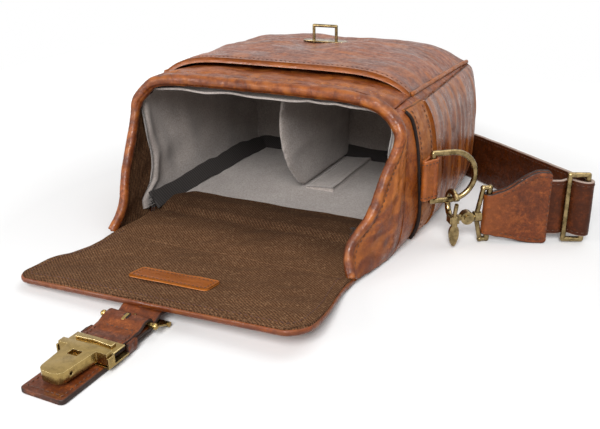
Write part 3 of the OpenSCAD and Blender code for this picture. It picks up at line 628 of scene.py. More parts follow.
@dataclass(frozen=True)
class Twill(Finish):
    """Coarse cotton twill: raised diagonal ribs crossed by a finer weft, flecked with paler yarn.

    The ribs are drawn at 1.4 mm, about twice the real pitch, so that they show at the render's size.
    """

    name: str
    base: str
    pale: str
    dark: str
    pressed: str = "#bcbcbc"
    rib_mm: float = 1.4
    weft_mm: float = 1.75
    fleck_mm: float = 1.4
    cloud_mm: float = 30.0

    def shade(self, tree: bpy.types.NodeTree) -> bpy.types.Node:
        """Two crossing bands make the ribs and a fleck breaks them up.

        Args:
            tree: node tree.
        Returns:
            The shader node.
        """
        place = add_node(tree, "TexCoord").outputs["Object"]
        diagonal = add_node(tree, "Mapping", links={"Vector": place}, Rotation=(0.0, 0.0, np.radians(38.0)))
        rib = add_node(tree, "TexWave", {"wave_type": "BANDS"}, {"Vector": diagonal},
                       Scale=BAND_PITCH * per_mm(self.rib_mm), Distortion=0.5, Detail=2.0, Detail_Scale=1.5)
        crossing = add_node(tree, "Mapping", links={"Vector": place}, Rotation=(0.0, 0.0, np.radians(-52.0)))
        weft = add_node(tree, "TexWave", {"wave_type": "BANDS"}, {"Vector": crossing},
                        Scale=BAND_PITCH * per_mm(self.weft_mm), Distortion=0.5, Detail=2.0)
        fleck = add_node(tree, "TexNoise", links={"Vector": place}, Scale=per_mm(self.fleck_mm), Detail=3.0,
                         Roughness=0.7)
        cloud = add_node(tree, "TexNoise", links={"Vector": place}, Scale=per_mm(self.cloud_mm), Detail=3.0)
        thread = add_node(tree, "Math", {"operation": "MULTIPLY"},
                          {0: rib.outputs["Fac"], 1: weft.outputs["Fac"]})
        colour = self.tinted(tree, self.base, (
            Layer(thread, self.dark, (0.08, 0.55), (1.0, 0.0)),
            Layer(fleck, self.pale, (0.52, 0.74), (0.0, 0.7)),
            Layer(cloud, self.dark, (0.35, 0.7), (0.0, 0.3)),
            # Painted shadow: the shade mark darkens the twill by multiplying it with this grey.
            Layer("shade", self.pressed, blend="MULTIPLY")))
        bump = add_node(tree, "Bump", links={"Height": thread}, Strength=0.55, Distance=0.4 * MM)
        return add_node(tree, "BsdfPrincipled", links={"Base Color": colour, "Normal": bump}, Roughness=0.95,
                        Specular_IOR_Level=0.12, IOR=1.45)


@dataclass(frozen=True)
class Ribbed(Finish):
    """Grosgrain tape: close cross ribs, matt. They are drawn coarser than real ones, so that they show."""

    name: str
    base: str
    dark: str
    rib_mm: float = 1.4

    def shade(self, tree: bpy.types.NodeTree) -> bpy.types.Node:
        """Ribs in diagonal bands, which cross the tape on every wall.

        Args:
            tree: node tree.
        Returns:
            The shader node.
        """
        place = add_node(tree, "TexCoord").outputs["Object"]
        wave = add_node(tree, "TexWave", {"wave_type": "BANDS", "bands_direction": "DIAGONAL"},
                        {"Vector": place}, Scale=BAND_PITCH * per_mm(self.rib_mm), Distortion=0.5)
        rib = wave.outputs["Fac"]
        colour = self.tinted(tree, self.base, [Layer(rib, self.dark, share=(1.0, 0.0))])
        bump = add_node(tree, "Bump", links={"Height": rib}, Strength=0.6, Distance=0.3 * MM)
        return add_node(tree, "BsdfPrincipled", links={"Base Color": colour, "Normal": bump}, Roughness=0.85,
                        IOR=1.45)


@dataclass(frozen=True)
class Brass(Finish):
    """Antiqued brass casting: brushed bright faces and a brown patina in its low spots.

    The brush lines are drawn coarser than real ones, so that they show at the render's size.
    """

    name: str
    bright: str
    patina: str
    rubbed: str
    rough: float = 0.3
    stained: float = 0.5
    stain_mm: float = 5.0
    brush_mm: float = 0.8

    def shade(self, tree: bpy.types.NodeTree) -> bpy.types.Node:
        """Metal whose colour and gloss vary with the patina.

        Args:
            tree: node tree.
        Returns:
            The shader node.
        """
        place = add_node(tree, "TexCoord").outputs["Object"]
        stain = add_node(tree, "TexNoise", links={"Vector": place}, Scale=per_mm(self.stain_mm), Detail=6.0,
                         Roughness=0.65)
        brush = add_node(tree, "Mapping", links={"Vector": place}, Scale=(1.0, 0.12, 1.0))
        line = add_node(tree, "TexNoise", links={"Vector": brush}, Scale=per_mm(self.brush_mm), Detail=3.0)
        colour = self.tinted(tree, self.bright, (
            Layer(stain, self.patina, (0.4, 0.64), (0.0, self.stained)),
            # The worn mark lightens the rounded edges: worn brass and a painted highlight.
            Layer("wear", self.rubbed)))
        rough = add_node(tree, "MapRange", links={"Value": stain}, From_Min=0.35, From_Max=0.75,
                         To_Min=self.rough - 0.08, To_Max=self.rough + 0.14)
        bump = add_node(tree, "Bump", links={"Height": line}, Strength=0.12, Distance=0.1 * MM)
        return add_node(tree, "BsdfPrincipled",
                        links={"Base Color": colour, "Roughness": rough, "Normal": bump}, Metallic=1.0)


@dataclass(frozen=True)
class Thread(Finish):
    """Waxed twisted thread: two plies, slightly glossy."""

    name: str
    base: str
    dark: str
    twist_mm: float = 0.7

    def shade(self, tree: bpy.types.NodeTree) -> bpy.types.Node:
        """A fine twist of light and dark.

        Args:
            tree: node tree.
        Returns:
            The shader node.
        """
        place = add_node(tree, "TexCoord").outputs["Object"]
        twist = add_node(tree, "TexNoise", links={"Vector": place}, Scale=per_mm(self.twist_mm), Detail=2.0)
        colour = self.tinted(tree, self.base, [Layer(twist, self.dark, (0.35, 0.65), (1.0, 0.0))])
        bump = add_node(tree, "Bump", links={"Height": twist}, Strength=0.3, Distance=0.1 * MM)
        return add_node(tree, "BsdfPrincipled", links={"Base Color": colour, "Normal": bump}, Roughness=0.6,
                        IOR=1.5)


COGNAC = Leather("pull_up_leather_cognac", "#8a4416", "#b06623", "#4d2008", "#98552a", 0.42, 0.4)
WAXED = Leather("pull_up_leather_waxed", "#864014", "#b0662a", "#421b06", "#98552a", 0.46, 0.9)
DRAWN = Leather("pull_up_leather_drawn", "#884316", "#ad6628", "#4c2108", "#98552a", 0.36, 0.95,
                streak=(1.0, 1.0, 0.24))
TAN = Leather("pull_up_leather_tan", "#985826", "#ad6e38", "#713c17", "#2a1a14", 0.6, grain_mm=1.0)
STRAP = Leather("strap_leather_dark_brown", "#482008", "#683011", "#301305", "#9a877c", 0.45, 0.18)
LOCK_LEATHER = Leather("bridle_leather_brown", "#6f3413", "#9c5524", "#3c1a08", "#24130c", 0.5, 0.3)
GREY = Suede("microsuede_grey", "#afa6a0", "#776d67")
BROWN_TWILL = Twill("cotton_twill_brown", "#7a563b", "#ac8866", "#432c1c")
BLACK_TAPE = Ribbed("grosgrain_tape_black", "#3b3634", "#1e1b1a")
OLD_BRASS = Brass("antique_bronze_brass", "#a08b62", "#43371f", "#c3b084", 0.24, 0.75)
LOCK_BRASS = Brass("antique_brass", "#a78d57", "#574622", "#e0cb98", 0.26, 0.4)
TAN_THREAD = Thread("waxed_thread_tan", "#b87a42", "#84501f")
DARK_THREAD = Thread("waxed_thread_dark", "#5a321b", "#32190b")
BLACK_PAINT = Leather("edge_paint_dark", "#1f1511", "#2b1e18", "#140d0b", "#1f1511", 0.6, 0.2, 0.8)


# Shape of the bag


@dataclass(frozen=True)
class BagShape:
    """Sizes and main surfaces of the bag, the same as in the part's source, in metres."""

    half_w: float = 107 * MM
    half_d: float = 95 * MM
    mouth_t: float = 111 * MM
    rear_t: float = 107 * MM
    bulge: float = 11 * MM
    belly_y: float = 50 * MM
    pocket_crown: float = 20 * MM
    front_crown: float = 11 * MM
    welt_y: float = -62 * MM
    leather: float = 2.2 * MM
    in_leather: float = 2.25 * MM
    wall: float = 8.75 * MM
    staple_back: float = 25 * MM
    front_full: float = 20 * MM
    fold_y: float = -100.2 * MM
    lap_y: float = -219.2 * MM
    front_y: float = -246.2 * MM
    flap_t: float = 5.85 * MM
    lift: float = 0.2 * MM
    corner: float = 19 * MM
    twill_y: float = -61 * MM

    def thick(self, y: Array) -> Array:
        """Thickness of the body at depth y."""
        return self.mouth_t + (self.rear_t - self.mouth_t) * (y + self.half_d) / (2 * self.half_d)

    def square(self, x: Array) -> Array:
        """1 over most of the width, falling to 0 at the seams."""
        return 1 - np.minimum(1, np.abs(x) / (self.half_w - MM)) ** 6

    def swell(self, y: Array) -> Array:
        """Share of the pocket's crown at depth y, full at the lock staple."""
        front, rear = (np.maximum(0, way * (self.staple_back - y)) / (self.half_d + way * self.staple_back)
                       for way in (1, -1))
        return 1 - 0.38 * front ** 2.2 - 0.85 * rear ** 6

    def front_swell(self, y: Array) -> Array:
        """Share of the front panel's own crown at depth y."""
        return 1 - 0.85 * (np.maximum(0, y - self.front_full) / (self.half_d - self.front_full)) ** 6

    def pocket_z(self, x: Array, y: Array) -> Array:
        """Height of the front pocket's outer face."""
        return self.thick(y) + self.pocket_crown * self.square(x) * self.swell(y)

    def front_z(self, x: Array, y: Array) -> Array:
        """Height of the front panel's outer face."""
        return self.thick(y) - self.in_leather + self.front_crown * self.square(x) * self.front_swell(y)

    def belly(self, y: Array) -> Array:
        """Share of the side's bulge: a quarter sine up to its fullest place, then a parabola.

        Args:
            y: depth.
        Returns:
            Shares.
        """
        reach = self.half_d - self.belly_y
        front = 0.65 + 0.35 * np.sin(np.pi / 2 * np.clip((y + self.half_d) / reach, 0, 1))
        rear = 1 - 0.6 * (np.maximum(0, y - self.belly_y) / reach) ** 2
        return np.minimum(front, rear)

    def side_x(self, y: Array, z: Array) -> Array:
        """Distance of a side's outer face from the middle."""
        s = 2 * z / self.thick(np.maximum(y, -self.half_d)) - 1
        return self.half_w + self.bulge * self.belly(y) * (1 - np.abs(s) ** 4)

    def flap_under(self, y: Array, x: Array | float = 0.0) -> Array:
        """Height of the flap's underside; its right front corner stands a little higher than its left one.

        Args:
            y: place along.
            x: place across.
        Returns:
            Heights.
        """
        gone = np.maximum(0, (self.fold_y - 50 * MM - y) / (96 * MM))
        tilt = 4.5 * MM * x / (105 * MM) * smooth((self.fold_y - 20 * MM - y) / (110 * MM))
        return self.lift + 10 * MM * gone ** 1.3 + tilt

    def strip_y(self, z: Array) -> Array:
        """Edge of the side strip nearest the mouth."""
        return -self.half_d + 10 * MM + 22 * MM * (1 - z / self.mouth_t)

    def twill_line(self, x: Array) -> Array:
        """Line on the bag's floor where the twill meets the lining, drawn forward beside the walls."""
        return self.twill_y - 24 * MM * smooth((np.abs(x) - 78 * MM) / (20 * MM)) ** 2

    def lining_edge(self, z: Array) -> Array:
        """Front edge of the side linings: drawn back at half height and forward along the floor."""
        return -96 * MM + 10 * MM * bell(z, 46 * MM, 20 * MM) - 14 * MM * smooth((28 * MM - z) / (14 * MM))

    def rounded(self, points: Array) -> Array:
        """Rounds the two upper seams towards the mouth.

        Each square corner is drawn onto a quarter circle; its radius grows from nothing inside the mouth.

        Args:
            points: points on or near the shell.
        Returns:
            The moved points.
        """
        x, y, z = np.moveaxis(points, -1, 0)
        radius = self.corner * smooth((-68 * MM - y) / (26 * MM)) + 0.01 * MM
        dx = np.maximum(np.abs(x) - self.half_w + radius, 0)
        dz = np.maximum(z - self.mouth_t + 1.5 * MM + radius, 0)
        far = np.sqrt(dx ** 2 + dz ** 2)
        pull = np.where(far > 0, np.maximum(dx, dz) / np.maximum(far, TINY), 1.0) - 1.0
        return xyz(x + np.sign(x) * dx * pull, y, z + dz * pull)


SHAPE = BagShape()


@dataclass
class BodyShell:
    """Outer leather of the body: panels, front pocket, side strips and side pockets."""

    shape: BagShape = SHAPE
    panel_half: float = 104.6 * MM
    pocket_half: float = 104.7 * MM
    panel_end: float = 94.6 * MM
    rim_sewn_y: float = -86.5 * MM
    welt_sewn_in: float = 5.3 * MM
    welt_groove: float = 5.5 * MM
    strip_w: float = 27 * MM
    strip_out: float = 2.5 * MM
    pocket_out: float = 2.8 * MM

    def front_panel(self) -> None:
        """Front panel: height front_z with soft dents and a groove under its stitch line behind the rim."""
        s = self.shape
        half = self.panel_half / MM
        x, y = grid((-half, half, 150), (-96.5, 94.5, 140), MM)
        fade = np.clip((self.panel_half - np.abs(x)) / (12 * MM), 0, 1)
        groove = bell(y, self.rim_sewn_y, 1.3 * MM)
        puffed = bell(y, -80 * MM, 6 * MM)
        dents = 0.24 * MM * waves(x, y * 0.6, 0.035, 3) + 0.1056 * MM * waves(x, y, 0.012, 4)
        bump = bell(x, -52 * MM, 16 * MM) * bell(y, -70 * MM, 9 * MM)
        relief = fade * (dents - 0.7 * MM * groove + 0.5 * MM * puffed) + 1.6 * MM * bump
        top = s.rounded(xyz(x, y, s.front_z(x, y) + relief))
        # The shade mark paints shade into the groove under the stitch line.
        marks = {"wear": 0.35 * smooth(waves(x, y, 0.02, 5) - 0.4) + 0.2 * puffed, "shade": 0.4 * groove}
        plate("front_panel_leather", top, top - s.leather * UP, 0.5 * MM, marks).build(
            COGNAC, "bag", "leather", ["front_panel", "front_foam"])
        run_x = np.linspace(-94, 94, 200) * MM
        run = s.rounded(xyz(run_x, self.rim_sewn_y, s.front_z(run_x, self.rim_sewn_y) - 0.4 * MM))
        stitches("rim_stitches", [(run, UP)], 2.4 * MM, 1.6 * MM, 0.6 * MM).build(
            TAN_THREAD, "bag", "leather")

    def front_pocket(self) -> None:
        """Front pocket: height pocket_z with puckers at the rear corners and a thick folded welt in front."""
        s = self.shape
        half = self.pocket_half / MM
        x, y = grid((-half, half, 170), (s.welt_y / MM, self.panel_end / MM, 130), MM)
        inset = self.pocket_half - np.abs(x)
        fade = np.clip(inset / (15 * MM), 0, 1) * np.clip((self.panel_end - y) / (10 * MM), 0, 1)
        corner = np.exp(-inset / (22 * MM)) * smooth((y + 45 * MM) / (50 * MM))
        pucker = waves(x * 0.12, y + 0.12 * np.abs(x), 0.0055, 12)
        swells = 0.55 * MM * waves(x, y * 0.7, 0.055, 10) + 0.16 * MM * waves(x * 0.5, y * 1.6, 0.014, 11)
        near = y - s.welt_y
        relief = smooth(near / (45 * MM)) * fade * swells + 0.14 * MM * corner * pucker
        relief = relief - 0.5 * MM * bell(near, self.welt_groove, 1.0 * MM)
        top = xyz(x, y, s.pocket_z(x, y) + np.clip(fade * 3, 0, 1) * relief)
        thick = s.leather + 2.2 * MM * np.exp(-near / (5.0 * MM))
        worn = 0.35 * np.exp(-near / (2.2 * MM)) + 0.3 * smooth(waves(x, y, 0.03, 14) - 0.6)
        # Painted shade near the seams and rear end, and in the pucker valleys.
        painted_shade = 0.35 * (1 - np.clip(fade * 4, 0, 1)) - 0.25 * corner * np.minimum(pucker, 0)
        marks = {"wear": np.clip(worn, 0, 1), "shade": np.clip(painted_shade, 0, 0.7)}
        plate("front_pocket_leather", top, top - thick[..., None] * UP, 1.1 * MM, marks).build(
            WAXED, "bag", "leather", ["front_pocket"])
        for side in Side:
            self.pocket_lip(side)
        run_x = np.linspace(-101, 101, 220) * MM
        run_y = s.welt_y + self.welt_sewn_in
        run = xyz(run_x, run_y, s.pocket_z(run_x, run_y) - 0.4 * MM)
        stitches("welt_stitches", [(run, UP)]).build(DARK_THREAD, "bag", "leather")

    def pocket_lip(self, side: Side) -> None:
        """Rolled lip along a side seam of the front pocket.

        Args:
            side: which side.
        """
        y = np.linspace(-60, 93, 160) * MM
        x = side.value * (105.2 * MM + 0.25 * MM * waves(y, 0.0, 0.03, 16))
        z = self.shape.pocket_z(self.pocket_half, y) - 0.6 * MM
        swell = 0.03 * waves(y, 0.0, 0.012, 17)[:, None]
        lip = roll(f"front_pocket_lip_{side.word}", xyz(x, y, z), UP, 1.9 * MM, 1.7 * MM, 12, swell)
        lip.marks["wear"] = 0.35
        lip.build(COGNAC, "bag", "leather")

    def side_point(self, side: Side, y: Array, z: Array, out: Array | float) -> Array:
        """Point at a distance outside a side's outer face, turned over at the front and floor seams.

        Args:
            side: which side.
            y: depth.
            z: height.
            out: distance outside the face.
        Returns:
            Points, shape of y and z with a last axis of 3.
        """
        s = self.shape
        t = s.thick(np.maximum(y, -s.half_d))
        over = smooth(1 - np.minimum(z, t - z) / (5 * MM)) ** 2
        back = smooth((y - 84 * MM) / (11 * MM)) ** 2
        x = s.side_x(y, z) + out - 2.4 * MM * over - 6.0 * MM * back
        return s.rounded(xyz(side.value * x, y, z))

    def side_plate(self, name: str, side: Side, grids: tuple[Array, Array, Array], thick: Array | float,
                   marks: dict, round_by: float = 0.6 * MM) -> Piece:
        """Closed plate laid on a side wall.

        Args:
            name: piece name.
            side: which side.
            grids: depth, height and distance of its outer face outside the wall.
            thick: its thickness.
            marks: values per grid point.
            round_by: rounding of its edges.
        Returns:
            The piece.
        """
        y, z, out = grids
        top, under = (self.side_point(side, y, z, level) for level in (out, out - thick))
        return plate(name, top, under, round_by, marks, flip=side is Side.LEFT)

    def side_panel(self, side: Side, seed: int) -> None:
        """A side's plain panel, with soft dents away from its seams.

        Args:
            side: which side.
            seed: first seed of its relief.
        """
        s = self.shape
        y, v = grid((-95.2 * MM, 93 * MM, 110), (0, 1, 90))
        z = 0.3 * MM + v * (s.thick(y) - 0.6 * MM)
        out = 0.35 * MM * waves(y, z * 0.5, 0.03, seed) * np.clip(np.minimum(v, 1 - v) * 12, 0, 1)
        marks = {"wear": 0.3 * smooth(waves(y, z, 0.025, seed + 3) - 0.3)}
        self.side_plate(f"side_panel_leather_{side.word}", side, (y, z, out), s.leather, marks).build(
            COGNAC, "bag", "leather", [f"side_panel_{side.word}", f"side_foam_{side.word}"])

    def side_strip(self, side: Side, seed: int) -> None:
        """A side's tan strip along the mouth, its dark painted edge and its two stitch rows.

        Args:
            side: which side.
            seed: first seed of its relief.
        """
        s = self.shape
        outward = side.value * ALONG_X
        u, v = grid((0, 1, 26), (0, 1, 90))
        z = 1.0 * MM + v * (s.rear_t - 0.5 * MM)
        y = s.strip_y(z) + u * self.strip_w
        bow = self.strip_out + 0.25 * MM * waves(y, z, 0.03, seed + 5)
        marks = {"wear": 0.5 * smooth(waves(y, z, 0.015, seed + 6))}
        self.side_plate(f"side_strip_tan_{side.word}", side, (y, z, bow), s.leather, marks).build(
            TAN, "bag", "pale_leather", [f"side_strip_{side.word}"])
        z = np.linspace(2.5, 105.5, 90) * MM
        edge = self.side_point(side, s.strip_y(z) - 0.5 * MM, z, 1.3 * MM)
        roll(f"side_strip_edge_{side.word}", edge, outward, 1.35 * MM, 0.9 * MM, 10).build(
            BLACK_PAINT, "bag", "pale_leather")
        rows = [(self.side_point(side, s.strip_y(z) + inset, z, self.strip_out + 0.05 * MM), outward)
                for inset in (3.0 * MM, 22.0 * MM)]
        stitches(f"side_strip_stitches_{side.word}", rows).build(DARK_THREAD, "bag", "pale_leather")

    def side_pocket(self, side: Side, seed: int) -> None:
        """A side's puffed pocket behind the strip: long folds, deep creases and puckers under its upper seam.

        Args:
            side: which side.
            seed: first seed of its relief.
        """
        s = self.shape
        u, v = grid((0, 1, 120), (0, 1, 100))
        z = 0.8 * MM + v * (s.rear_t - 1.2 * MM)
        start = s.strip_y(z) + self.strip_w + 1 * MM
        y = start + u * (self.panel_end - start)
        fold = np.exp(-(y - start) / (3.0 * MM))
        puffed = np.sin(np.pi * np.clip(v, 0, 1)) ** 0.5 * np.sin(np.pi * np.clip(u, 0.02, 1)) ** 0.4
        long_folds = waves(y + 0.12 * z, z * 0.22, 0.017, seed + 8)
        deep = creases(y + 0.15 * z, z * 0.18, 0.04, seed + 9)
        top_pucker = np.exp(-(s.rear_t - z) / (14 * MM)) * waves(y, z * 0.2, 0.011, seed + 10)
        fine_folds = waves(y + 0.2 * z, z * 0.16, 0.008, seed + 11)
        relief = 0.5 * long_folds + 0.2 * fine_folds - 0.6 * deep + 0.5 * top_pucker
        stand = puffed * (2.2 + relief) * MM + 1.4 * MM * fold
        thick = 2.3 * MM + 1.8 * MM * fold + stand * 0.2
        worn = 0.3 * np.exp(-(y - start) / (1.6 * MM)) + 0.4 * smooth(long_folds)
        # Painted shade in the deep creases.
        marks = {"wear": np.clip(worn, 0, 1), "shade": 0.45 * deep * puffed}
        self.side_plate(f"side_pocket_leather_{side.word}", side, (y, z, self.pocket_out + stand), thick,
                        marks, 0.9 * MM).build(DRAWN, "bag", "leather", [f"side_pocket_{side.word}"])

    def rear_and_back(self) -> None:
        """Bottom panel at the rear, bowed out a little, and the back panel that lies on the floor."""
        s = self.shape
        u, v = grid((-1, 1, 110), (0, 1, 80))
        low = 1.2 * MM
        z = low + v * (s.pocket_z(u * 103 * MM, 94 * MM) - 2.6 * MM - low)
        x = u * (s.side_x(92 * MM, z) - 6.5 * MM)
        bow = (1 - u ** 6) * (1 - np.abs(2 * v - 1) ** 6)
        y = 94.3 * MM + 2.6 * MM * bow + 0.4 * MM * bow * waves(x, z, 0.05, 40)
        top = xyz(x, y, z)[::-1]
        marks = {"wear": 0.35 * smooth(waves(x, z, 0.03, 41))}
        plate("bottom_panel_leather", top, top - s.leather * ALONG_Y, 0.8 * MM, marks).build(
            COGNAC, "bag", "leather", ["bottom_panel", "bottom_foam"])
        half = self.panel_half / MM
        x, y = grid((-half, half, 60), (-99.8, 94.2, 60), MM)
        plate("back_panel_leather", xyz(x, y, s.leather), xyz(x, y, 0.0), 0.8 * MM).build(
            COGNAC, "bag", "leather", ["back_panel", "back_foam"])

    def build(self) -> None:
        """Makes every panel of the shell."""
        self.front_panel()
        self.front_pocket()
        for side in Side:
            seed = 20 + side.value
            self.side_panel(side, seed)
            self.side_strip(side, seed)
            self.side_pocket(side, seed)
        self.rear_and_back()


@dataclass
class MouthRim:
    """Rolled rim round the mouth and the two gussets that scoop forward to the flap."""

    shape: BagShape = SHAPE
    reach: float = 54 * MM
    roll_half: float = 3.5 * MM
    top_half: float = 4.6 * MM
    sewn_in: float = 3.2 * MM
    sewn_span: float = 8 * MM
    middle_z: float = 52 * MM
    base: dict = field(default_factory=lambda: {Side.RIGHT: 104.1 * MM, Side.LEFT: 105.1 * MM})
    flare: dict = field(default_factory=lambda: {Side.RIGHT: 8.5 * MM, Side.LEFT: 0.5 * MM})
    lean: dict = field(default_factory=lambda: {Side.RIGHT: 13 * MM, Side.LEFT: 6.5 * MM})

    def edge_y(self, z: Array) -> Array:
        """Front edge of a gusset: reach times (1 - z / 105 mm) to the power 1.4, in front of the mouth."""
        return -self.shape.half_d - 4.0 * MM - self.reach * np.maximum(0, 1 - z / (105 * MM)) ** 1.4

    def rim_path(self) -> Array:
        """Middle line of the roll from the right foot, over the front panel, to the left foot.

        Each leg leans in by a bell curve centred 20 mm up, and flares out by one centred 92 mm up.
        The line is softened by averaging each point with its neighbours.

        Returns:
            Points, shape (560, 3).
        """
        s = self.shape
        z = np.linspace(5.0, 105, 70) * MM
        inward = bell(z, 20 * MM, 17 * MM)
        right, left = (xyz(side.value * (self.base[side] - self.lean[side] * inward), self.edge_y(z), z)
                       for side in Side)
        x = np.linspace(100, -100, 90) * MM
        over = xyz(x, -96.9 * MM, s.front_z(x, -s.half_d) - 4.3 * MM)
        path = eased(s.rounded(resample(np.concatenate([right, over, left[::-1]]), 560)), 50)
        flared = bell(path[:, 2], 92 * MM, 22 * MM) * smooth((np.abs(path[:, 0]) - 80 * MM) / (22 * MM))
        path[:, 0] += flared * np.where(path[:, 0] > 0, self.flare[Side.RIGHT], -self.flare[Side.LEFT])
        return path

    def outward(self, points: Array) -> Array:
        """Unit vectors away from the mouth's middle line, level with the mouth."""
        return unit(points * [1, 0, 1] - self.middle_z * UP)

    def leg(self, side: Side, v: Array) -> tuple[Array, Array]:
        """Place on a side's roll.

        Args:
            side: which side.
            v: share of the way up.
        Returns:
            The points, and the directions away from the mouth's middle.
        """
        count = 90
        path = self.rim_path()[::side.value]
        top = np.argmax((path[:, 2] > 90 * MM) & (np.abs(path[:, 0]) < 100 * MM))
        point = between(v, np.linspace(0, 1, count), resample(path[:top], count))
        return point, self.outward(point)

    def rim(self) -> None:
        """The roll: an oval, larger along the front panel, with wrinkles, creases and a groove on top."""
        sides = 36
        path = self.rim_path()
        gone = arc_lengths(path)[:, None]
        turn = np.linspace(0, 2 * np.pi, sides, endpoint=False)
        wrinkle = waves(gone, turn * 6 * MM, 0.012, 50)
        deep = creases(gone + 2 * MM * np.sin(turn), turn * 1.0 * MM, 0.014, 51)
        top_share = smooth((path[:, 2] - 84 * MM) / (16 * MM))
        groove = bell(turn, 0.85, 0.16) * top_share[:, None]
        swell = 0.03 * waves(gone, 0 * turn, 0.06, 52) + 0.014 * wrinkle - 0.045 * deep - 0.1 * groove
        size = self.roll_half + (self.top_half - self.roll_half) * top_share
        piece = roll("rim_roll", path, -self.outward(path), size, size * 1.02, sides, swell, 0.9)
        # A darker tone with mottling, painted shade on the lower right leg, and painted shade in the creases
        # and the top groove.
        foot = smooth((70 * MM - path[:, 2]) / (30 * MM)) * smooth(path[:, 0] / (20 * MM))
        low_shade_and_mottle = 0.2 + 0.3 * foot[:, None] + 0.1 * waves(gone, turn * 3 * MM, 0.025, 53)
        piece.marks["wear"] = np.clip(0.04 + 0.2 * wrinkle + 0.12 * np.cos(turn + np.pi), 0, 0.5)
        piece.marks["shade"] = np.clip(low_shade_and_mottle + 0.6 * deep + 0.6 * groove, 0, 0.85)
        self.fold(piece.build(COGNAC, None, "leather", ["mouth_rim"]))

    def fold(self, piece: bpy.types.Object) -> None:
        """Bakes a piece's transform into its mesh; it rides on no body."""
        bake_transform(piece)

    def skin(self, side: Side, u: Array, v: Array) -> Array:
        """Outer leather from the mouth line, u = 0, to the roll, u = 1.

        Sideways it follows u to the power 1.6 and a sine bow, along and up it is straight.

        Args:
            side: which side.
            u: share of the way to the roll.
            v: share of the way up.
        Returns:
            Points.
        """
        s = self.shape
        point, out = self.leg(side, v)
        edge = point + (self.roll_half - 1.2 * MM) * out
        z = 1.0 * MM + v * 103 * MM
        x = side.value * (s.side_x(-s.half_d, z) - 0.2 * MM)
        seam = s.rounded(xyz(x, -93.5 * MM, z))
        bow = 1.2 * MM * np.sin(np.pi * u) * smooth(v * 4)
        points = seam + (edge - seam) * xyz(u ** 1.6, u, u)
        points[..., 0] += side.value * bow
        return points

    def facing(self, side: Side, u: Array, v: Array) -> Array:
        """Inner twill, straight from behind the lining's edge, u = 0, to the inside of the roll, u = 1.

        Its foot is drawn down to the floor.

        Args:
            side: which side.
            u: share of the way to the roll.
            v: share of the way up.
        Returns:
            Points.
        """
        s = self.shape
        point, out = self.leg(side, v)
        edge = point - (self.roll_half - 1.6 * MM) * out + 1.0 * MM * ALONG_Y
        z = 4.0 * MM + v * 98 * MM
        y = s.lining_edge(z) + 9 * MM
        x = side.value * (s.side_x(np.maximum(y, -s.half_d), z) - 6.6 * MM)
        points = s.rounded(xyz(x, y, z)) * (1 - u)[..., None] + edge * u[..., None]
        points[..., 2] -= 3.4 * MM * (1 - smooth(v / 0.07))
        return points

    def gusset(self, side: Side) -> None:
        """Gusset between the side's front edge and its roll: pleated leather outside, twill inside.

        Args:
            side: which side.
        """
        u, v = grid((0, 1, 44), (0, 1, 110))
        a, b = u * 0.05, v * 0.1
        inward = -side.value * ALONG_X
        top = self.skin(side, u, v)
        span = np.linalg.norm(top[-1] - top[0], axis=-1)[None]
        inset = (1 - u) * span
        middle = np.sin(np.pi * u)
        groove = bell(inset, self.sewn_in, 1.1 * MM) * (span > self.sewn_span)
        pleats = waves(v * 0.11 + 0.02 * u, u * 0.012, 0.011, 63) * np.exp(-inset / (9 * MM)) * smooth(u * 4)
        relief = 0.35 * waves(a, b, 0.02, 60) * middle + 0.35 * pleats - 0.6 * groove
        top[..., 0] += side.value * relief * MM
        # Painted light on the upper part; painted shade low down, in the seam groove and in the pleat valleys.
        painted_top_light = 0.35 * smooth((v - 0.35) / 0.3)
        low_shade_and_mottle = 0.75 * (1 - v) ** 2.5 + 0.2 * waves(a, b, 0.018, 64)
        worn = 0.3 * smooth(waves(a, b, 0.02, 61)) + 0.25 * smooth(pleats) + painted_top_light
        painted_shade = 0.4 * groove - 0.3 * np.minimum(pleats, 0) + low_shade_and_mottle
        marks = {"wear": np.clip(worn, 0, 1), "shade": np.clip(painted_shade, 0, 0.75)}
        piece = plate(f"gusset_leather_{side.word}", top, top + 2.6 * MM * inward, 0.4 * MM, marks,
                      flip=side is Side.RIGHT)
        self.fold(piece.build(COGNAC, None, "leather", [f"gusset_{side.word}"]))
        inner = self.facing(side, u, v)
        inner[..., 0] -= side.value * 0.4 * MM * waves(a, b, 0.03, 62) * middle
        # The inner twill is painted a quarter into shade all over.
        piece = plate(f"gusset_twill_{side.word}", inner, inner - 1.2 * MM * inward, 0.2 * MM,
                      {"shade": 0.25}, flip=side is Side.LEFT)
        self.fold(piece.build(BROWN_TWILL, None, "twill"))
        self.sew(side)

    def sew(self, side: Side) -> None:
        """Stitch rows beside the roll, one on the leather and one on the twill.

        Args:
            side: which side.
        """
        outward = side.value * ALONG_X
        v = np.linspace(0.08, 0.94, 120)
        span = np.linalg.norm(self.skin(side, 1 + 0 * v, v) - self.skin(side, 0 * v, v), axis=-1)
        wide = span > self.sewn_span
        v = v[wide]
        span = span[wide]
        outside = self.skin(side, 1 - self.sewn_in / span, v) - 0.35 * MM * outward
        inside = self.facing(side, 1 - 1.6 * MM / span, v) - 0.2 * MM * outward
        rows = [(outside, outward - 0.3 * ALONG_Y), (inside, -outward - 0.4 * ALONG_Y)]
        piece = stitches(f"gusset_stitches_{side.word}", rows, 2.4 * MM, 1.4 * MM)
        self.fold(piece.build(DARK_THREAD, None, "leather"))

    def build(self) -> None:
        """Makes the roll and both gussets."""
        self.rim()
        for side in Side:
            self.gusset(side)


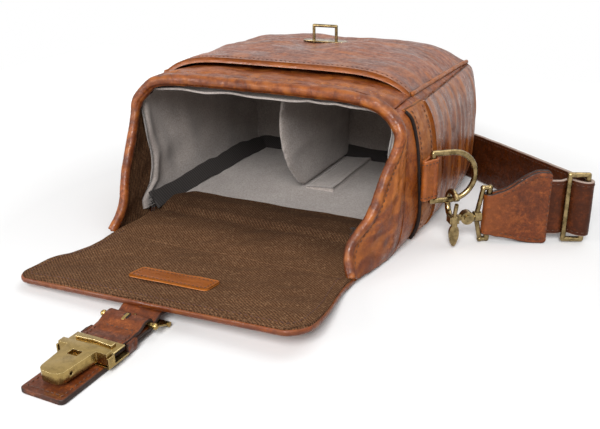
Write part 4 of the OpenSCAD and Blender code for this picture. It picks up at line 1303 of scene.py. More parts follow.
@dataclass
class Lining:
    """Grey padded lining with its dark tape, and the divider with its tab."""

    shape: BagShape = SHAPE
    half_w: float = 98 * MM
    rear_y: float = 86 * MM
    backing: float = 1.5 * MM
    tape_w: float = 15 * MM
    tape_z: float = 15.6 * MM
    tape_corner: float = 6 * MM
    tape_ends: tuple[float, float] = (-104 * MM, 83.6 * MM)
    tape_half: float = 95.4 * MM
    yarns: int = 16
    pad_x: float = -4 * MM
    pad_z: tuple[float, float] = (10.9 * MM, 94.75 * MM)
    pad_rear: float = 85.9 * MM
    tab_x: tuple[float, float] = (-1.0 * MM, 24.6 * MM)
    tab_y: tuple[float, float] = (-14 * MM, 77 * MM)

    def floor(self) -> None:
        """Floor lining from the twill to the rear, with soft swells."""
        s = self.shape
        x, v = grid((-97.6 * MM, 97.6 * MM, 90), (0, 1, 80))
        front = s.twill_line(x) - 6 * MM
        y = front + v * (85.9 * MM - front)
        z = 8.9 * MM + 0.2 * MM * (waves(x, y, 0.05, 70) + 1)
        self.sheet("floor_lining", xyz(x, y, z), -self.backing * UP, ["back_lining"])

    def ceiling(self) -> None:
        """Lining under the front panel, with sagging swells and a thicker hem at the mouth."""
        s = self.shape
        half = self.half_w
        x, y = grid((-half, half, 90), (-94.5 * MM, self.rear_y, 80))
        sag = 0.9 * MM * np.abs(waves(x, y, 0.06, 71)) + 4.5 * MM * bell(y, -92 * MM, 6 * MM)
        z = s.front_z(x, y) - s.wall + 0.1 * MM - sag * s.square(x)
        self.sheet("ceiling_lining", xyz(x, y, z)[::-1], self.backing * UP, ["front_lining"])

    def rear(self) -> None:
        """Lining of the rear wall, swollen a little away from its sides."""
        s = self.shape
        u, v = grid((-1, 1, 90), (0, 1, 60))
        low = 8.8 * MM
        z = low + v * (s.front_z(u * 97 * MM, self.rear_y) - s.wall - low)
        x = u * (s.side_x(self.rear_y, z) - s.wall)
        y = self.rear_y - 1.2 * MM * (1 - u ** 8) * (0.6 + 0.3 * waves(x, z, 0.06, 72))
        self.sheet("rear_lining", xyz(x, y, z), self.backing * ALONG_Y, ["bottom_lining"])

    def side_wall(self, side: Side) -> None:
        """Lining of a side wall: puffed, folded near the mouth and rolled over at its front edge.

        Args:
            side: which side.
        """
        s = self.shape
        u, v = grid((0, 1, 100), (0, 1, 80))
        margin = 7.5 * MM
        z = margin + v * (s.mouth_t - 2 * margin)
        edge = s.lining_edge(z)
        y = edge + u * (self.rear_y - edge)
        z = np.minimum(z, s.thick(y) - margin)
        soft = np.sin(np.pi * v) ** 0.6
        fold = waves(y + 0.3 * z, z * 0.35, 0.03, 74 + side.value) * np.exp(-(y - edge) / (38 * MM))
        roll_over = np.exp(-(y - edge) / (1.8 * MM))
        hem = 3.2 * MM * bell(y - edge, 5 * MM, 6 * MM)
        puffed = 1.2 * MM + 1.3 * MM * fold + 0.5 * MM * waves(y, z, 0.05, 76) + hem
        x = s.side_x(np.maximum(y, -s.half_d), z) - s.wall - soft * puffed + 2.6 * MM * roll_over
        top = s.rounded(xyz(side.value * x, y, z))[::-side.value]
        made = self.sheet(f"side_lining_sheet_{side.word}", top, side.value * 1.4 * MM * ALONG_X,
                          [f"side_lining_{side.word}"])
        self.give_way(made)

    def give_way(self, piece: bpy.types.Object) -> None:
        """Gives a piece its own copy of its mesh."""
        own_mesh(piece)

    def sheet(self, name: str, top: Array, back: Array, nodes: list[str]) -> bpy.types.Object:
        """Builds one lining sheet.

        Args:
            name: piece name.
            top: visible face.
            back: offset from the visible face to the hidden one.
            nodes: CAD nodes it stands for.
        Returns:
            The sheet's object.
        """
        made = plate(name, top, top + back, 0.4 * MM).build(GREY, "bag", "grey_lining", nodes)
        return made

    def tape(self) -> None:
        """Ribbed tape in the corner between floor and walls, a strap that leans outwards."""
        half, corner = self.tape_half, self.tape_corner
        front, rear = self.tape_ends
        left = [[-half, front, 0], [-half, rear - corner, 0], [corner - half, rear, 0]]
        path = np.array(left + [[-x, y, z] for x, y, z in left[::-1]])
        path = resample(cut_corners(path, 2), 300) + self.tape_z * UP
        path[:, 2] += 0.8 * MM * waves(path[:, 0], path[:, 1], 0.06, 78)
        path[:, 2] -= 2.5 * MM * smooth((-60 * MM - path[:, 1]) / (30 * MM))
        ahead = unit(np.gradient(path, axis=0) * [1, 1, 0])
        leaning = unit(np.cross(UP, ahead) + 1.5 * UP)
        wide = self.tape_w + 0.6 * MM * waves(path[:, 0], path[:, 1], 0.02, 79)
        piece = ribbon("floor_tape", path, leaning, wide, 1.2 * MM)
        self.give_way(piece.build(BLACK_TAPE, "bag", "tape", ["edge_tape"]))
        self.frayed(path)

    def frayed(self, path: Array) -> None:
        """Loose yarns at both cut ends of the tape, seeded short curves that fan out.

        Args:
            path: middle line of the tape.
        """
        rng = np.random.default_rng(81)
        loose = np.array([82.0, -100.0, 13.0]) * MM
        for side, (end, back) in {Side.LEFT: (path[0], path[4]), Side.RIGHT: (loose, path[-5])}.items():
            away = unit(end - back)
            pieces = []
            for _ in range(self.yarns):
                fan = unit(away + rng.normal(0, 0.5, 3) + 0.2 * UP)
                start = end + rng.normal(0, 1, 3) * [1.0 * MM, 0.5 * MM, 3.0 * MM]
                reach = rng.uniform(3, 7) * MM
                t = np.linspace(0, 1, 8)[:, None]
                yarn = start + t * reach * fan - 3 * MM * UP * t ** 2 * rng.uniform(0, 1)
                pieces.append(roll("yarn", yarn, np.array([1.0, 0.2, 0.3]), 0.32 * MM, 0.32 * MM, 5))
            points = [piece.points.reshape(-1, 3) for piece in pieces]
            starts = np.cumsum([0] + [len(part) for part in points])
            faces = [[k + n for k in face] for piece, n in zip(pieces, starts) for face in piece.faces]
            piece = Piece(f"tape_fray_{side.word}", np.concatenate(points), faces)
            self.give_way(piece.build(BLACK_TAPE, "bag", "tape"))

    def divider(self) -> None:
        """Divider pad: its outline closed with a swollen thickness, then puffed."""
        low, high = self.pad_z
        tall = high - low
        rows = np.linspace(0, 1, 40)
        front = np.array([[-14, 0], [-32, 0.16], [-46, 0.38], [-54, 0.64], [-53, 0.9], [-46, 1.04]])
        edge = resample(cut_corners(front * [MM, tall] + [0, low], 3), len(rows))
        u = np.linspace(0, 1, 50)[:, None]
        y = edge[:, 0] + u * (self.pad_rear - edge[:, 0])
        z = edge[:, 1] + 6 * MM * np.sin(np.pi * np.clip(u * 1.1, 0, 1)) * rows ** 3
        rim = np.minimum(np.minimum(u * 110 * MM, rows * tall + 1.2 * MM), (1 - rows) * tall + 2 * MM)
        half = 1.2 * MM + 2.6 * MM * smooth(rim / (7 * MM)) ** 0.5
        left, right = (xyz(self.pad_x + sign * half, y, z)[::-1] for sign in (-1, 1))
        made = plate("divider_pad", right, left, 0.4 * MM).build(GREY, None, "grey_lining", ["divider"])
        puff(made, 4.0 * MM, 1.5, 2.0 * MM, self.beside_tab)
        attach(made, "divider")

    def divider_tab(self) -> None:
        """Tab at the divider's foot: a low wedge with a rounded rim and a sewn groove inside it."""
        x, y = grid((*self.tab_x, 40), (*self.tab_y, 70))
        z = 11.7 * MM + 0.08 * (x + 1.2 * MM) + 0.15 * MM * waves(x, y, 0.03, 80)
        inset = [np.minimum(t - ends[0], ends[1] - t) for t, ends in ((x, self.tab_x), (y, self.tab_y))]
        rim = np.minimum(*inset)
        z = z - 0.9 * MM * np.exp(-rim / (1.6 * MM)) - 0.5 * MM * bell(rim, 4.0 * MM, 0.8 * MM)
        tab = plate("divider_tab_pad", xyz(x, y, z), xyz(x, y, 9.2 * MM), 0.5 * MM).build(
            GREY, "tab", "grey_lining", ["divider_tab"])

    def beside_tab(self, points: Array) -> Array:
        """Largest x of the divider: flat where its lifted tab leans on it, free to swell above that."""
        return -1.6 * MM + 4 * MM * smooth((points[:, 2] - 40 * MM) / (18 * MM))

    def build(self) -> None:
        """Makes the lining, tape and divider."""
        self.floor()
        self.ceiling()
        self.rear()
        for side in Side:
            self.side_wall(side)
        self.tape()
        self.divider()
        self.divider_tab()


def puff(piece: bpy.types.Object, voxel: float, pressure: float, cap: float,
         largest_x: Callable[[Array], Array]) -> None:
    """Swells a pad with Blender's cloth under pressure and keeps the result in its mesh.

    Args:
        piece: pad, with no parent.
        voxel: remesh size.
        pressure: cloth pressure.
        cap: largest distance that a point may move.
        largest_x: largest x that each point may reach.
    """
    scene = bpy.context.scene
    steps = 20
    remesh = piece.modifiers.new("remesh", "REMESH")
    remesh.mode = "VOXEL"
    remesh.voxel_size = voxel
    fine = bpy.data.meshes.new_from_object(piece.evaluated_get(bpy.context.evaluated_depsgraph_get()))
    piece.modifiers.clear()
    fine.materials.clear()
    fine.materials.append(piece.data.materials[0])
    piece.data = fine
    rest = np.empty(len(fine.vertices) * 3, np.float32)
    fine.vertices.foreach_get("co", rest)
    moved = rest.copy()
    cloth = piece.modifiers.new("cloth", "CLOTH")
    cloth.settings.use_pressure = True
    cloth.settings.uniform_pressure_force = pressure
    cloth.settings.effector_weights.gravity = 0.0
    cloth.point_cache.frame_start = 1
    cloth.point_cache.frame_end = steps
    for number in range(1, steps + 1):
        scene.frame_set(number)
    done = piece.evaluated_get(bpy.context.evaluated_depsgraph_get())
    done.data.vertices.foreach_get("co", moved)
    piece.modifiers.clear()
    scene.frame_set(1)
    step = (moved - rest).reshape(-1, 3)
    far = np.linalg.norm(step, axis=1, keepdims=True)
    step *= np.minimum(1.0, cap / np.maximum(far, TINY))
    place = rest.reshape(-1, 3) + step
    place[:, 0] = np.minimum(place[:, 0], largest_x(place))
    fine.vertices.foreach_set("co", place.astype(np.float32).ravel())
    fine.polygons.foreach_set("use_smooth", np.ones(len(fine.polygons), bool))
    fine.update()
    finer = piece.modifiers.new("finer", "SUBSURF")
    finer.levels = finer.render_levels = 1


@dataclass
class Flap:
    """Flap: twill inside, leather outside with a rolled edge, and the bare label patch."""

    shape: BagShape = SHAPE
    half: float = 99.5 * MM
    inner_half: float = 97.4 * MM
    wide: float = 109 * MM
    corner: float = 18 * MM
    split: float = -152 * MM
    edge_in: float = 1.9 * MM
    sewn_in: float = 5.2 * MM
    label: tuple[float, float] = (62 * MM, 17.5 * MM)
    label_x: float = -2 * MM
    label_round: float = 3 * MM
    label_sewn: float = 2.6 * MM

    def width_at(self, y: Array) -> Array:
        """Half width: straight beside the gussets, then flaring, then a round front corner.

        Args:
            y: place along.
        Returns:
            Half widths.
        """
        s = self.shape
        start = s.fold_y - 60 * MM
        centre = s.front_y + self.corner
        flare = self.half + (self.wide - self.half) * smooth((start - y) / (start - centre)) ** 0.8
        return flare - round_off(centre - y, self.corner)

    def rows(self, y0: float, y1: float, count: int) -> Array:
        """Row positions from y0 to y1, closer together in the front corner."""
        t = np.linspace(0, 1, count)
        return y0 + (y1 - y0) * (1 - (1 - t) ** 1.6)

    def top_z(self, x: Array, y: Array) -> Array:
        """Height of the twill: the flap's top outside the mouth and a hump inside it, with soft swells.

        Args:
            x: place across.
            y: place along.
        Returns:
            Heights.
        """
        s = self.shape
        soft = 0.5 * MM * waves(x, y, 0.06, 90) + 0.15 * MM * waves(x, y, 0.02, 91)
        inside = smooth((y - s.fold_y) / (8 * MM))
        hump = 1.6 * MM * bell(y, -78 * MM, 9 * MM)
        flap = s.flap_under(y, x) + s.flap_t - 0.2 * MM
        return flap * (1 - inside) + (10.0 * MM + hump) * inside + soft * (1 - 0.6 * inside)

    def mouth_twill(self) -> None:
        """Twill over the fold: from the lining to the flat part, tucked under the flap's own sheet there."""
        s = self.shape
        u, v = grid((-1, 1, 120), (0, 1, 80))
        rear = s.twill_line(u * self.inner_half)
        y = rear + v * (self.split - 4 * MM - rear)
        widest = self.inner_half + 1.0 * MM * smooth((s.fold_y - y) / (50 * MM))
        x = u * np.minimum(self.width_at(y), widest)
        tucked = 0.25 * MM * smooth((self.split + 1 * MM - y) / (3 * MM))
        top = xyz(x, y, self.top_z(x, y) - tucked)[:, ::-1]
        # Painted shadow: the twill darkens into the mouth, where shade falls.
        pressed = 0.97 * smooth((y - s.fold_y + 34 * MM) / (44 * MM))[:, ::-1]
        made = plate("mouth_twill", top, top - 1.6 * MM * UP, 0.2 * MM, {"shade": pressed}).build(
            BROWN_TWILL, None, "twill", ["mouth_facing"])
        self.fold(made)

    def flap_twill(self) -> None:
        """Twill over the flap and the lap's crease, turned down at its rim with a sewn ridge inside it."""
        s = self.shape
        u = np.linspace(-1, 1, 120)[:, None]
        y = self.rows(self.split, s.front_y + 1.0 * MM, 100) + 0 * u
        widest = self.inner_half + 1.0 * MM + 30 * MM * smooth((self.split - y) / (30 * MM))
        x = u * np.minimum(self.width_at(y) - 1.0 * MM, widest)
        rim = np.minimum(self.width_at(y) - np.abs(x), y - s.front_y)
        turned = 1.3 * MM * np.exp(-rim / (1.5 * MM)) + 0.5 * MM * bell(rim, self.sewn_in, 1.0 * MM)
        top = xyz(x, y, self.top_z(x, y) - turned)[:, ::-1]
        made = plate("flap_twill", top, top - 2.4 * MM * UP, 0.2 * MM).build(
            BROWN_TWILL, None, "twill", ["flap_lining", "lap_lining"])
        self.crease(made)

    def fold(self, piece: bpy.types.Object) -> None:
        """Bakes a piece's transform into its mesh; it rides on no body."""
        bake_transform(piece)

    def crease(self, piece: bpy.types.Object) -> None:
        """Bakes a piece's transform into its mesh; it rides on no body."""
        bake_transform(piece)

    def outline(self) -> Array:
        """Middle line of the rolled edge, from the left gusset round the front to the right gusset.

        Returns:
            Points, shape (420, 3).
        """
        s = self.shape
        front_y = s.front_y + self.edge_in
        y = self.rows(s.fold_y - 46 * MM, s.front_y, 120)
        right = np.stack([self.width_at(y) - self.edge_in, np.maximum(y, front_y)], 1)
        front_x = np.linspace(-right[-1, 0], right[-1, 0], 60)[1:-1]
        middle = np.stack([front_x, np.full_like(front_x, front_y)], 1)
        flat = eased(resample(np.concatenate([right * [-1, 1], middle, right[::-1]]), 420), 4)
        return xyz(flat[:, 0], flat[:, 1], s.flap_under(flat[:, 1], flat[:, 0]) + 2.1 * MM)

    def outer_leather(self) -> None:
        """Outer leather under the twill, on the flap's underside."""
        s = self.shape
        u = np.linspace(-1, 1, 90)[:, None]
        y = self.rows(s.fold_y - 0.5 * MM, s.front_y + 0.8 * MM, 90) + 0 * u
        x = u * (self.width_at(y) - 1.0 * MM)
        low = xyz(x, y, s.flap_under(y, x) + 0.05 * MM)[:, ::-1]
        marks = {"wear": 0.25 * smooth(waves(x, y, 0.03, 95))[:, ::-1]}
        made = plate("flap_outer_leather", low + 2.6 * MM * UP, low, 0.5 * MM, marks).build(
            COGNAC, None, "leather", ["flap_leather", "lap_leather"])
        self.crease(made)

    def rolled_edge(self) -> None:
        """Rolled edge of the flap, an oval along its outline, and the stitch line inside it."""
        sides = 16
        path = self.outline()
        gone = np.arange(len(path)) * np.linalg.norm(path[1] - path[0])
        turn = np.linspace(0, 2 * np.pi, sides, endpoint=False)
        wrinkle = waves(gone[:, None], turn * 4 * MM, 0.014, 96)
        piece = roll("flap_rolled_edge", path, UP, 2.0 * MM, 1.8 * MM, sides, 0.012 * wrinkle, 0.8)
        # Painted light and shade: the roll is lighter on top and much darker underneath.
        piece.marks["wear"] = np.clip(0.12 * np.cos(turn) + 0.08 * wrinkle, 0, 0.4)
        piece.marks["shade"] = np.clip(0.75 - 0.3 * np.cos(turn) + 0.15 * wrinkle, 0, 0.95)
        self.crease(piece.build(COGNAC, None, "leather"))
        inner = resample(path, 300)
        level = unit(unit(np.gradient(inner, axis=0)) * [1, 1, 0])
        inner = inner + np.cross(UP, level) * self.sewn_in
        inner[:, 2] = self.top_z(inner[:, 0], inner[:, 1]) + 0.15 * MM
        self.crease(stitches("flap_edge_stitches", [(inner, UP)]).build(DARK_THREAD, None, "twill"))

    def fold_leather(self) -> None:
        """Strip of outer leather that turns with the fold, under the hinge line."""
        x, y = grid((-98, 98, 60), (-92, -112, 30), MM)
        low = xyz(x, y, 0.25 * MM)[:, ::-1]
        made = plate("fold_leather", low + 1.6 * MM * UP, low, 0.3 * MM, {"wear": 0.3}).build(
            COGNAC, None, "leather")
        self.fold(made)

    def label_base(self, x: Array, y: Array) -> Array:
        """Height of the label's underside: a straight slope just above the twill.

        Args:
            x: place across.
            y: place along.
        Returns:
            Heights.
        """
        s = self.shape
        front = s.lap_y + 1 * MM
        rear = front + self.label[1]
        slope = (s.flap_under(rear) - s.flap_under(front)) / self.label[1]
        return s.flap_under(rear, x) + s.flap_t + 0.4 * MM + slope * (y - rear)

    def label_patch(self) -> None:
        """Bare leather patch on the twill, with round corners and a stitch line round its edge."""
        half_w, half_h = self.label[0] / 2, self.label[1] / 2
        middle_y = self.shape.lap_y + 1 * MM + half_h
        u, v = grid((-1, 1, 60), (-1, 1, 26))
        rounding = round_off((np.abs(v) - 1) * half_h + self.label_round, self.label_round)
        x = self.label_x + u * (half_w - rounding)
        y = middle_y + v * half_h
        base = self.label_base(x, y)
        rim = np.minimum((1 - np.abs(u)) * half_w, (1 - np.abs(v)) * half_h)
        groove = 0.7 * MM
        z = base + (1.5 + 0.08 * waves(x, y, 0.03, 99) - 0.3 * bell(rim, self.label_sewn, groove)) * MM
        # The shade mark darkens the label a little for its own tone and paints shade in its stitch groove.
        marks = {"wear": np.clip(0.35 + 0.5 * np.exp(-rim / (1.2 * MM)), 0, 1),
                 "shade": 0.3 + 0.25 * (np.abs(rim - self.label_sewn) < groove)}
        plate("label_patch_leather", xyz(x, y, z), xyz(x, y, base), 0.5 * MM, marks).build(
            COGNAC, "flap", "pale_leather", ["label_patch"])
        corners = np.array([[-1, -1], [1, -1], [1, 1], [-1, 1], [-1, -1]])
        box = corners * [half_w - self.label_sewn, half_h - self.label_sewn]
        run_x, run_y = (resample(box, 160) + [self.label_x, middle_y]).T
        run = xyz(run_x, run_y, self.label_base(run_x, run_y) + 1.35 * MM)
        stitches("label_stitches", [(run, UP)], 2.0 * MM, 1.0 * MM, 0.55 * MM).build(
            DARK_THREAD, "flap", "pale_leather")

    def build(self) -> None:
        """Makes the flap."""
        self.outer_leather()
        self.rolled_edge()
        self.fold_leather()
        self.mouth_twill()
        self.flap_twill()
        self.label_patch()


@dataclass
class LockStrap:
    """Strap that carries the lock: billet, folded leather, keeper, pull tab and the brass lock.

    Its sizes are in millimetres, with y and z along the lock's middle plane.
    """

    shape: BagShape = SHAPE
    x: float = 0.0
    width: float = 30.0
    buckle: float = -258.6
    length: float = 35.0
    tab_past: float = 38.6
    tab_round: float = 2.5
    leather: float = 2.2
    low: float = 4.55
    bar: float = 8.51
    hole: float = 1.76
    sewn_in: float = 2.6
    tab_sewn: float = 3.2

    @property
    def end(self) -> float:
        """End of the folded leather nearest the lock."""
        return self.buckle - self.length

    @property
    def top(self) -> float:
        """Height of the folded leather's upper face."""
        return self.low + 2 * self.leather

    @property
    def bend(self) -> float:
        """Radius of the leather's middle round the buckle's bar."""
        return self.hole + self.leather / 2

    def at(self, yz: Array, count: int) -> Array:
        """Path in the lock's middle plane from points of y and z in millimetres."""
        flat = resample(np.asarray(yz, float) * MM, count)
        return xyz(self.x, flat[:, 0], flat[:, 1])

    def billet(self) -> None:
        """Billet: a strap sewn under the lap that runs down to the floor under the lock."""
        s = self.shape
        y = np.linspace(-221.2, -246.2, 14)
        under = s.flap_under(y * MM) / MM - 0.05 - self.leather / 2
        tail = [[self.buckle + 5, 5.6], [self.buckle + 1, 3.5], [self.end + 14, 3.35]]
        path = self.at(np.concatenate([np.stack([y, under], 1), tail]), 90)
        made = ribbon("billet_strap", path, ALONG_X, (self.width - 1) * MM, self.leather * MM).build(
            LOCK_LEATHER, None, "dark_leather", ["billet", "billet_tail"])
        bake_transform(made)

    def folded(self) -> None:
        """Leather folded round the buckle's bar by a half circle, its two leaves flat on each other."""
        b, bar, r, end = self.buckle, self.bar, self.bend, self.end
        high, low = self.top - self.leather / 2, self.low + self.leather / 2
        turn = np.linspace(np.pi / 2, -np.pi / 2, 25)
        around = np.stack([b + r * np.cos(turn), bar + r * np.sin(turn)], 1)
        upper = [[end, high], [b - 16, high], [b - 10, high + 0.5], [b - 4, bar + r - 0.4]]
        lower = [[b - 4, bar - r + 0.2], [b - 10, low], [b - 16, low], [end, low]]
        path = self.at(np.concatenate([upper, around, lower]), 150)
        ribbon("lock_strap_leather", path, ALONG_X, self.width * MM, self.leather * MM,
               wave=(0.2 * MM, 0.014, 110)).build(LOCK_LEATHER, "lock", "leather", ["lock_strap"])

    def slot(self) -> None:
        """Oval slot for the buckle's prong, a thin dark oval on the leather that paints the hole's shadow and
        its edge paint, with the prong's top in it.
        """
        b, outer = self.buckle, self.bar + self.bend
        y = np.linspace(b - 7.5, b + 1.5, 40)
        heights = [self.top + 0.55, outer + 0.75, outer + 1.12, outer + 0.8]
        z = np.interp(y, [b - 10, b - 4, b, b + 1.5], heights)
        oval = 4.8 * MM * np.sqrt(np.maximum(0.02, 1 - ((y - b + 3) / 4.6) ** 2))
        ribbon("lock_strap_slot", self.at(np.stack([y, z], 1), len(y)), ALONG_X, oval, 0.3 * MM).build(
            BLACK_PAINT, "lock", "leather")
        prong = self.at(np.stack([y, z + 0.15], 1)[8:-6], 24)
        ribbon("buckle_prong_top", prong, ALONG_X, 2.0 * MM, 0.8 * MM).build(
            LOCK_BRASS, "lock", "antique_brass")

    def sew(self) -> None:
        """Stitch rows of the folded leather: one along each edge and one across, beside the buckle."""
        b, top = self.buckle, self.top
        aside = (self.width / 2 - self.sewn_in) * MM * ALONG_X
        line = self.at([[self.end + 10.5, top + 0.05], [b - 16, top + 0.05], [b - 11, top + 0.45]], 60)
        rows = [(line + side.value * aside, UP) for side in Side]
        rows.append((resample(np.stack([line[-1] - aside, line[-1] + aside]), 40), UP))
        stitches("lock_strap_stitches", rows, 2.2 * MM, 1.1 * MM).build(DARK_THREAD, "lock", "leather")

    def keeper(self) -> None:
        """Keeper: a narrow loop of wrinkled leather round the strap and the billet's tail."""
        half, low, high, corner = self.width / 2 + 1.1, 1.2, 8.6, 1.5
        left = [[-half, high], [-half, low + corner], [corner - half, low]]
        box = np.array(left + [[-x, z] for x, z in left[::-1]])
        flat = resample(cut_corners(box, 2), 90) * MM
        path = xyz(flat[:, 0] + self.x, (self.buckle - 18.5) * MM, flat[:, 1])
        ribbon("keeper_loop", path, ALONG_Y, 9 * MM, 1.9 * MM, wave=(0.25 * MM, 0.006, 112)).build(
            LOCK_LEATHER, "lock", "leather", ["keeper"])

    def pull_tab(self) -> None:
        """Pull tab: a strap with a round tip, its width falling as a quarter circle, sewn round its edge."""
        start, tip = self.end + 7, self.end - self.tab_past
        t = np.concatenate([np.linspace(0, 0.92, 40), np.linspace(0.925, 1, 30)])
        y = start + t * (tip - start)
        width = (self.width - 2 * round_off(tip + self.tab_round - y, self.tab_round)) * MM
        path = xyz(self.x, y * MM, 1.85 * MM)
        ribbon("pull_tab_leather", path, ALONG_X, width, 3.2 * MM, corner=0.6).build(
            LOCK_LEATHER, "lock", "leather", ["pull_tab"])
        keep = y > tip + self.tab_sewn
        side = np.stack([width / 2 - self.tab_sewn * MM, y * MM], 1)[keep]
        loop = resample(np.concatenate([side * [-1, 1], side[::-1]]), 200)
        run = xyz(loop[:, 0] + self.x, loop[:, 1], 3.5 * MM)
        stitches("pull_tab_stitches", [(run, UP)], 2.2 * MM, 1.1 * MM).build(DARK_THREAD, "lock", "leather")

    def build(self) -> None:
        """Makes the straps and softens the brass."""
        self.billet()
        self.folded()
        self.slot()
        self.sew()
        self.keeper()
        self.pull_tab()
        soften("lock_tongue", 0.7 * MM, "tongue", LOCK_BRASS)
        for node in ("lock_plate", "lock_front", "lock_spring", "buckle_prong"):
            soften(node, 0.3 * MM, "lock", LOCK_BRASS)
        for node in ("buckle_frame", "lock_pin"):
            dress(node, LOCK_BRASS)


def dress(node: str, finish: Finish) -> None:
    """Gives a CAD node that keeps its shape a better material.

    Args:
        node: CAD node.
        finish: its finish.
    """
    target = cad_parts[node]
    target.data.materials.clear()
    target.data.materials.append(finish.material())


def soften(node: str, width: float, body: str, finish: Finish) -> None:
    """Copies a CAD node, merges it and rounds its sharp edges, which come out lighter: worn brass and a painted
    highlight.

    Args:
        node: CAD node that the copy stands for.
        width: width of the rounding.
        body: body that the node rides on.
        finish: metal of the copy.
    """
    flat, sharp_from, shaded_from = np.radians([1.5, 40, 35])
    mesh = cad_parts[node].data.copy()
    mesh.name = node + "_rounded"
    work = bmesh.new()
    work.from_mesh(mesh)
    bmesh.ops.remove_doubles(work, verts=work.verts, dist=1e-6)
    bmesh.ops.dissolve_limit(work, angle_limit=flat, verts=work.verts, edges=work.edges)
    wear = work.faces.layers.float.new("wear")
    sharp = [edge for edge in work.edges if edge.is_manifold and edge.calc_face_angle() > sharp_from]
    rounded = bmesh.ops.bevel(work, geom=sharp, offset=width, segments=3, profile=0.5, affect="EDGES",
                              clamp_overlap=True)
    # Rounded edges get the worn mark: worn brass and a painted highlight.
    for face in rounded["faces"]:
        face[wear] = 0.7
    work.to_mesh(mesh)
    work.free()
    mesh.materials.clear()
    mesh.materials.append(finish.material())
    made = bpy.data.objects.new(node + "_rounded", mesh)
    bpy.context.scene.collection.objects.link(made)
    mesh.polygons.foreach_set("use_smooth", np.ones(len(mesh.polygons), bool))
    mesh.set_sharp_from_angle(angle=shaded_from)
    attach(made, body)
    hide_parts(node)
    log.info("%s: rounded copy, %d faces", node, len(mesh.polygons))


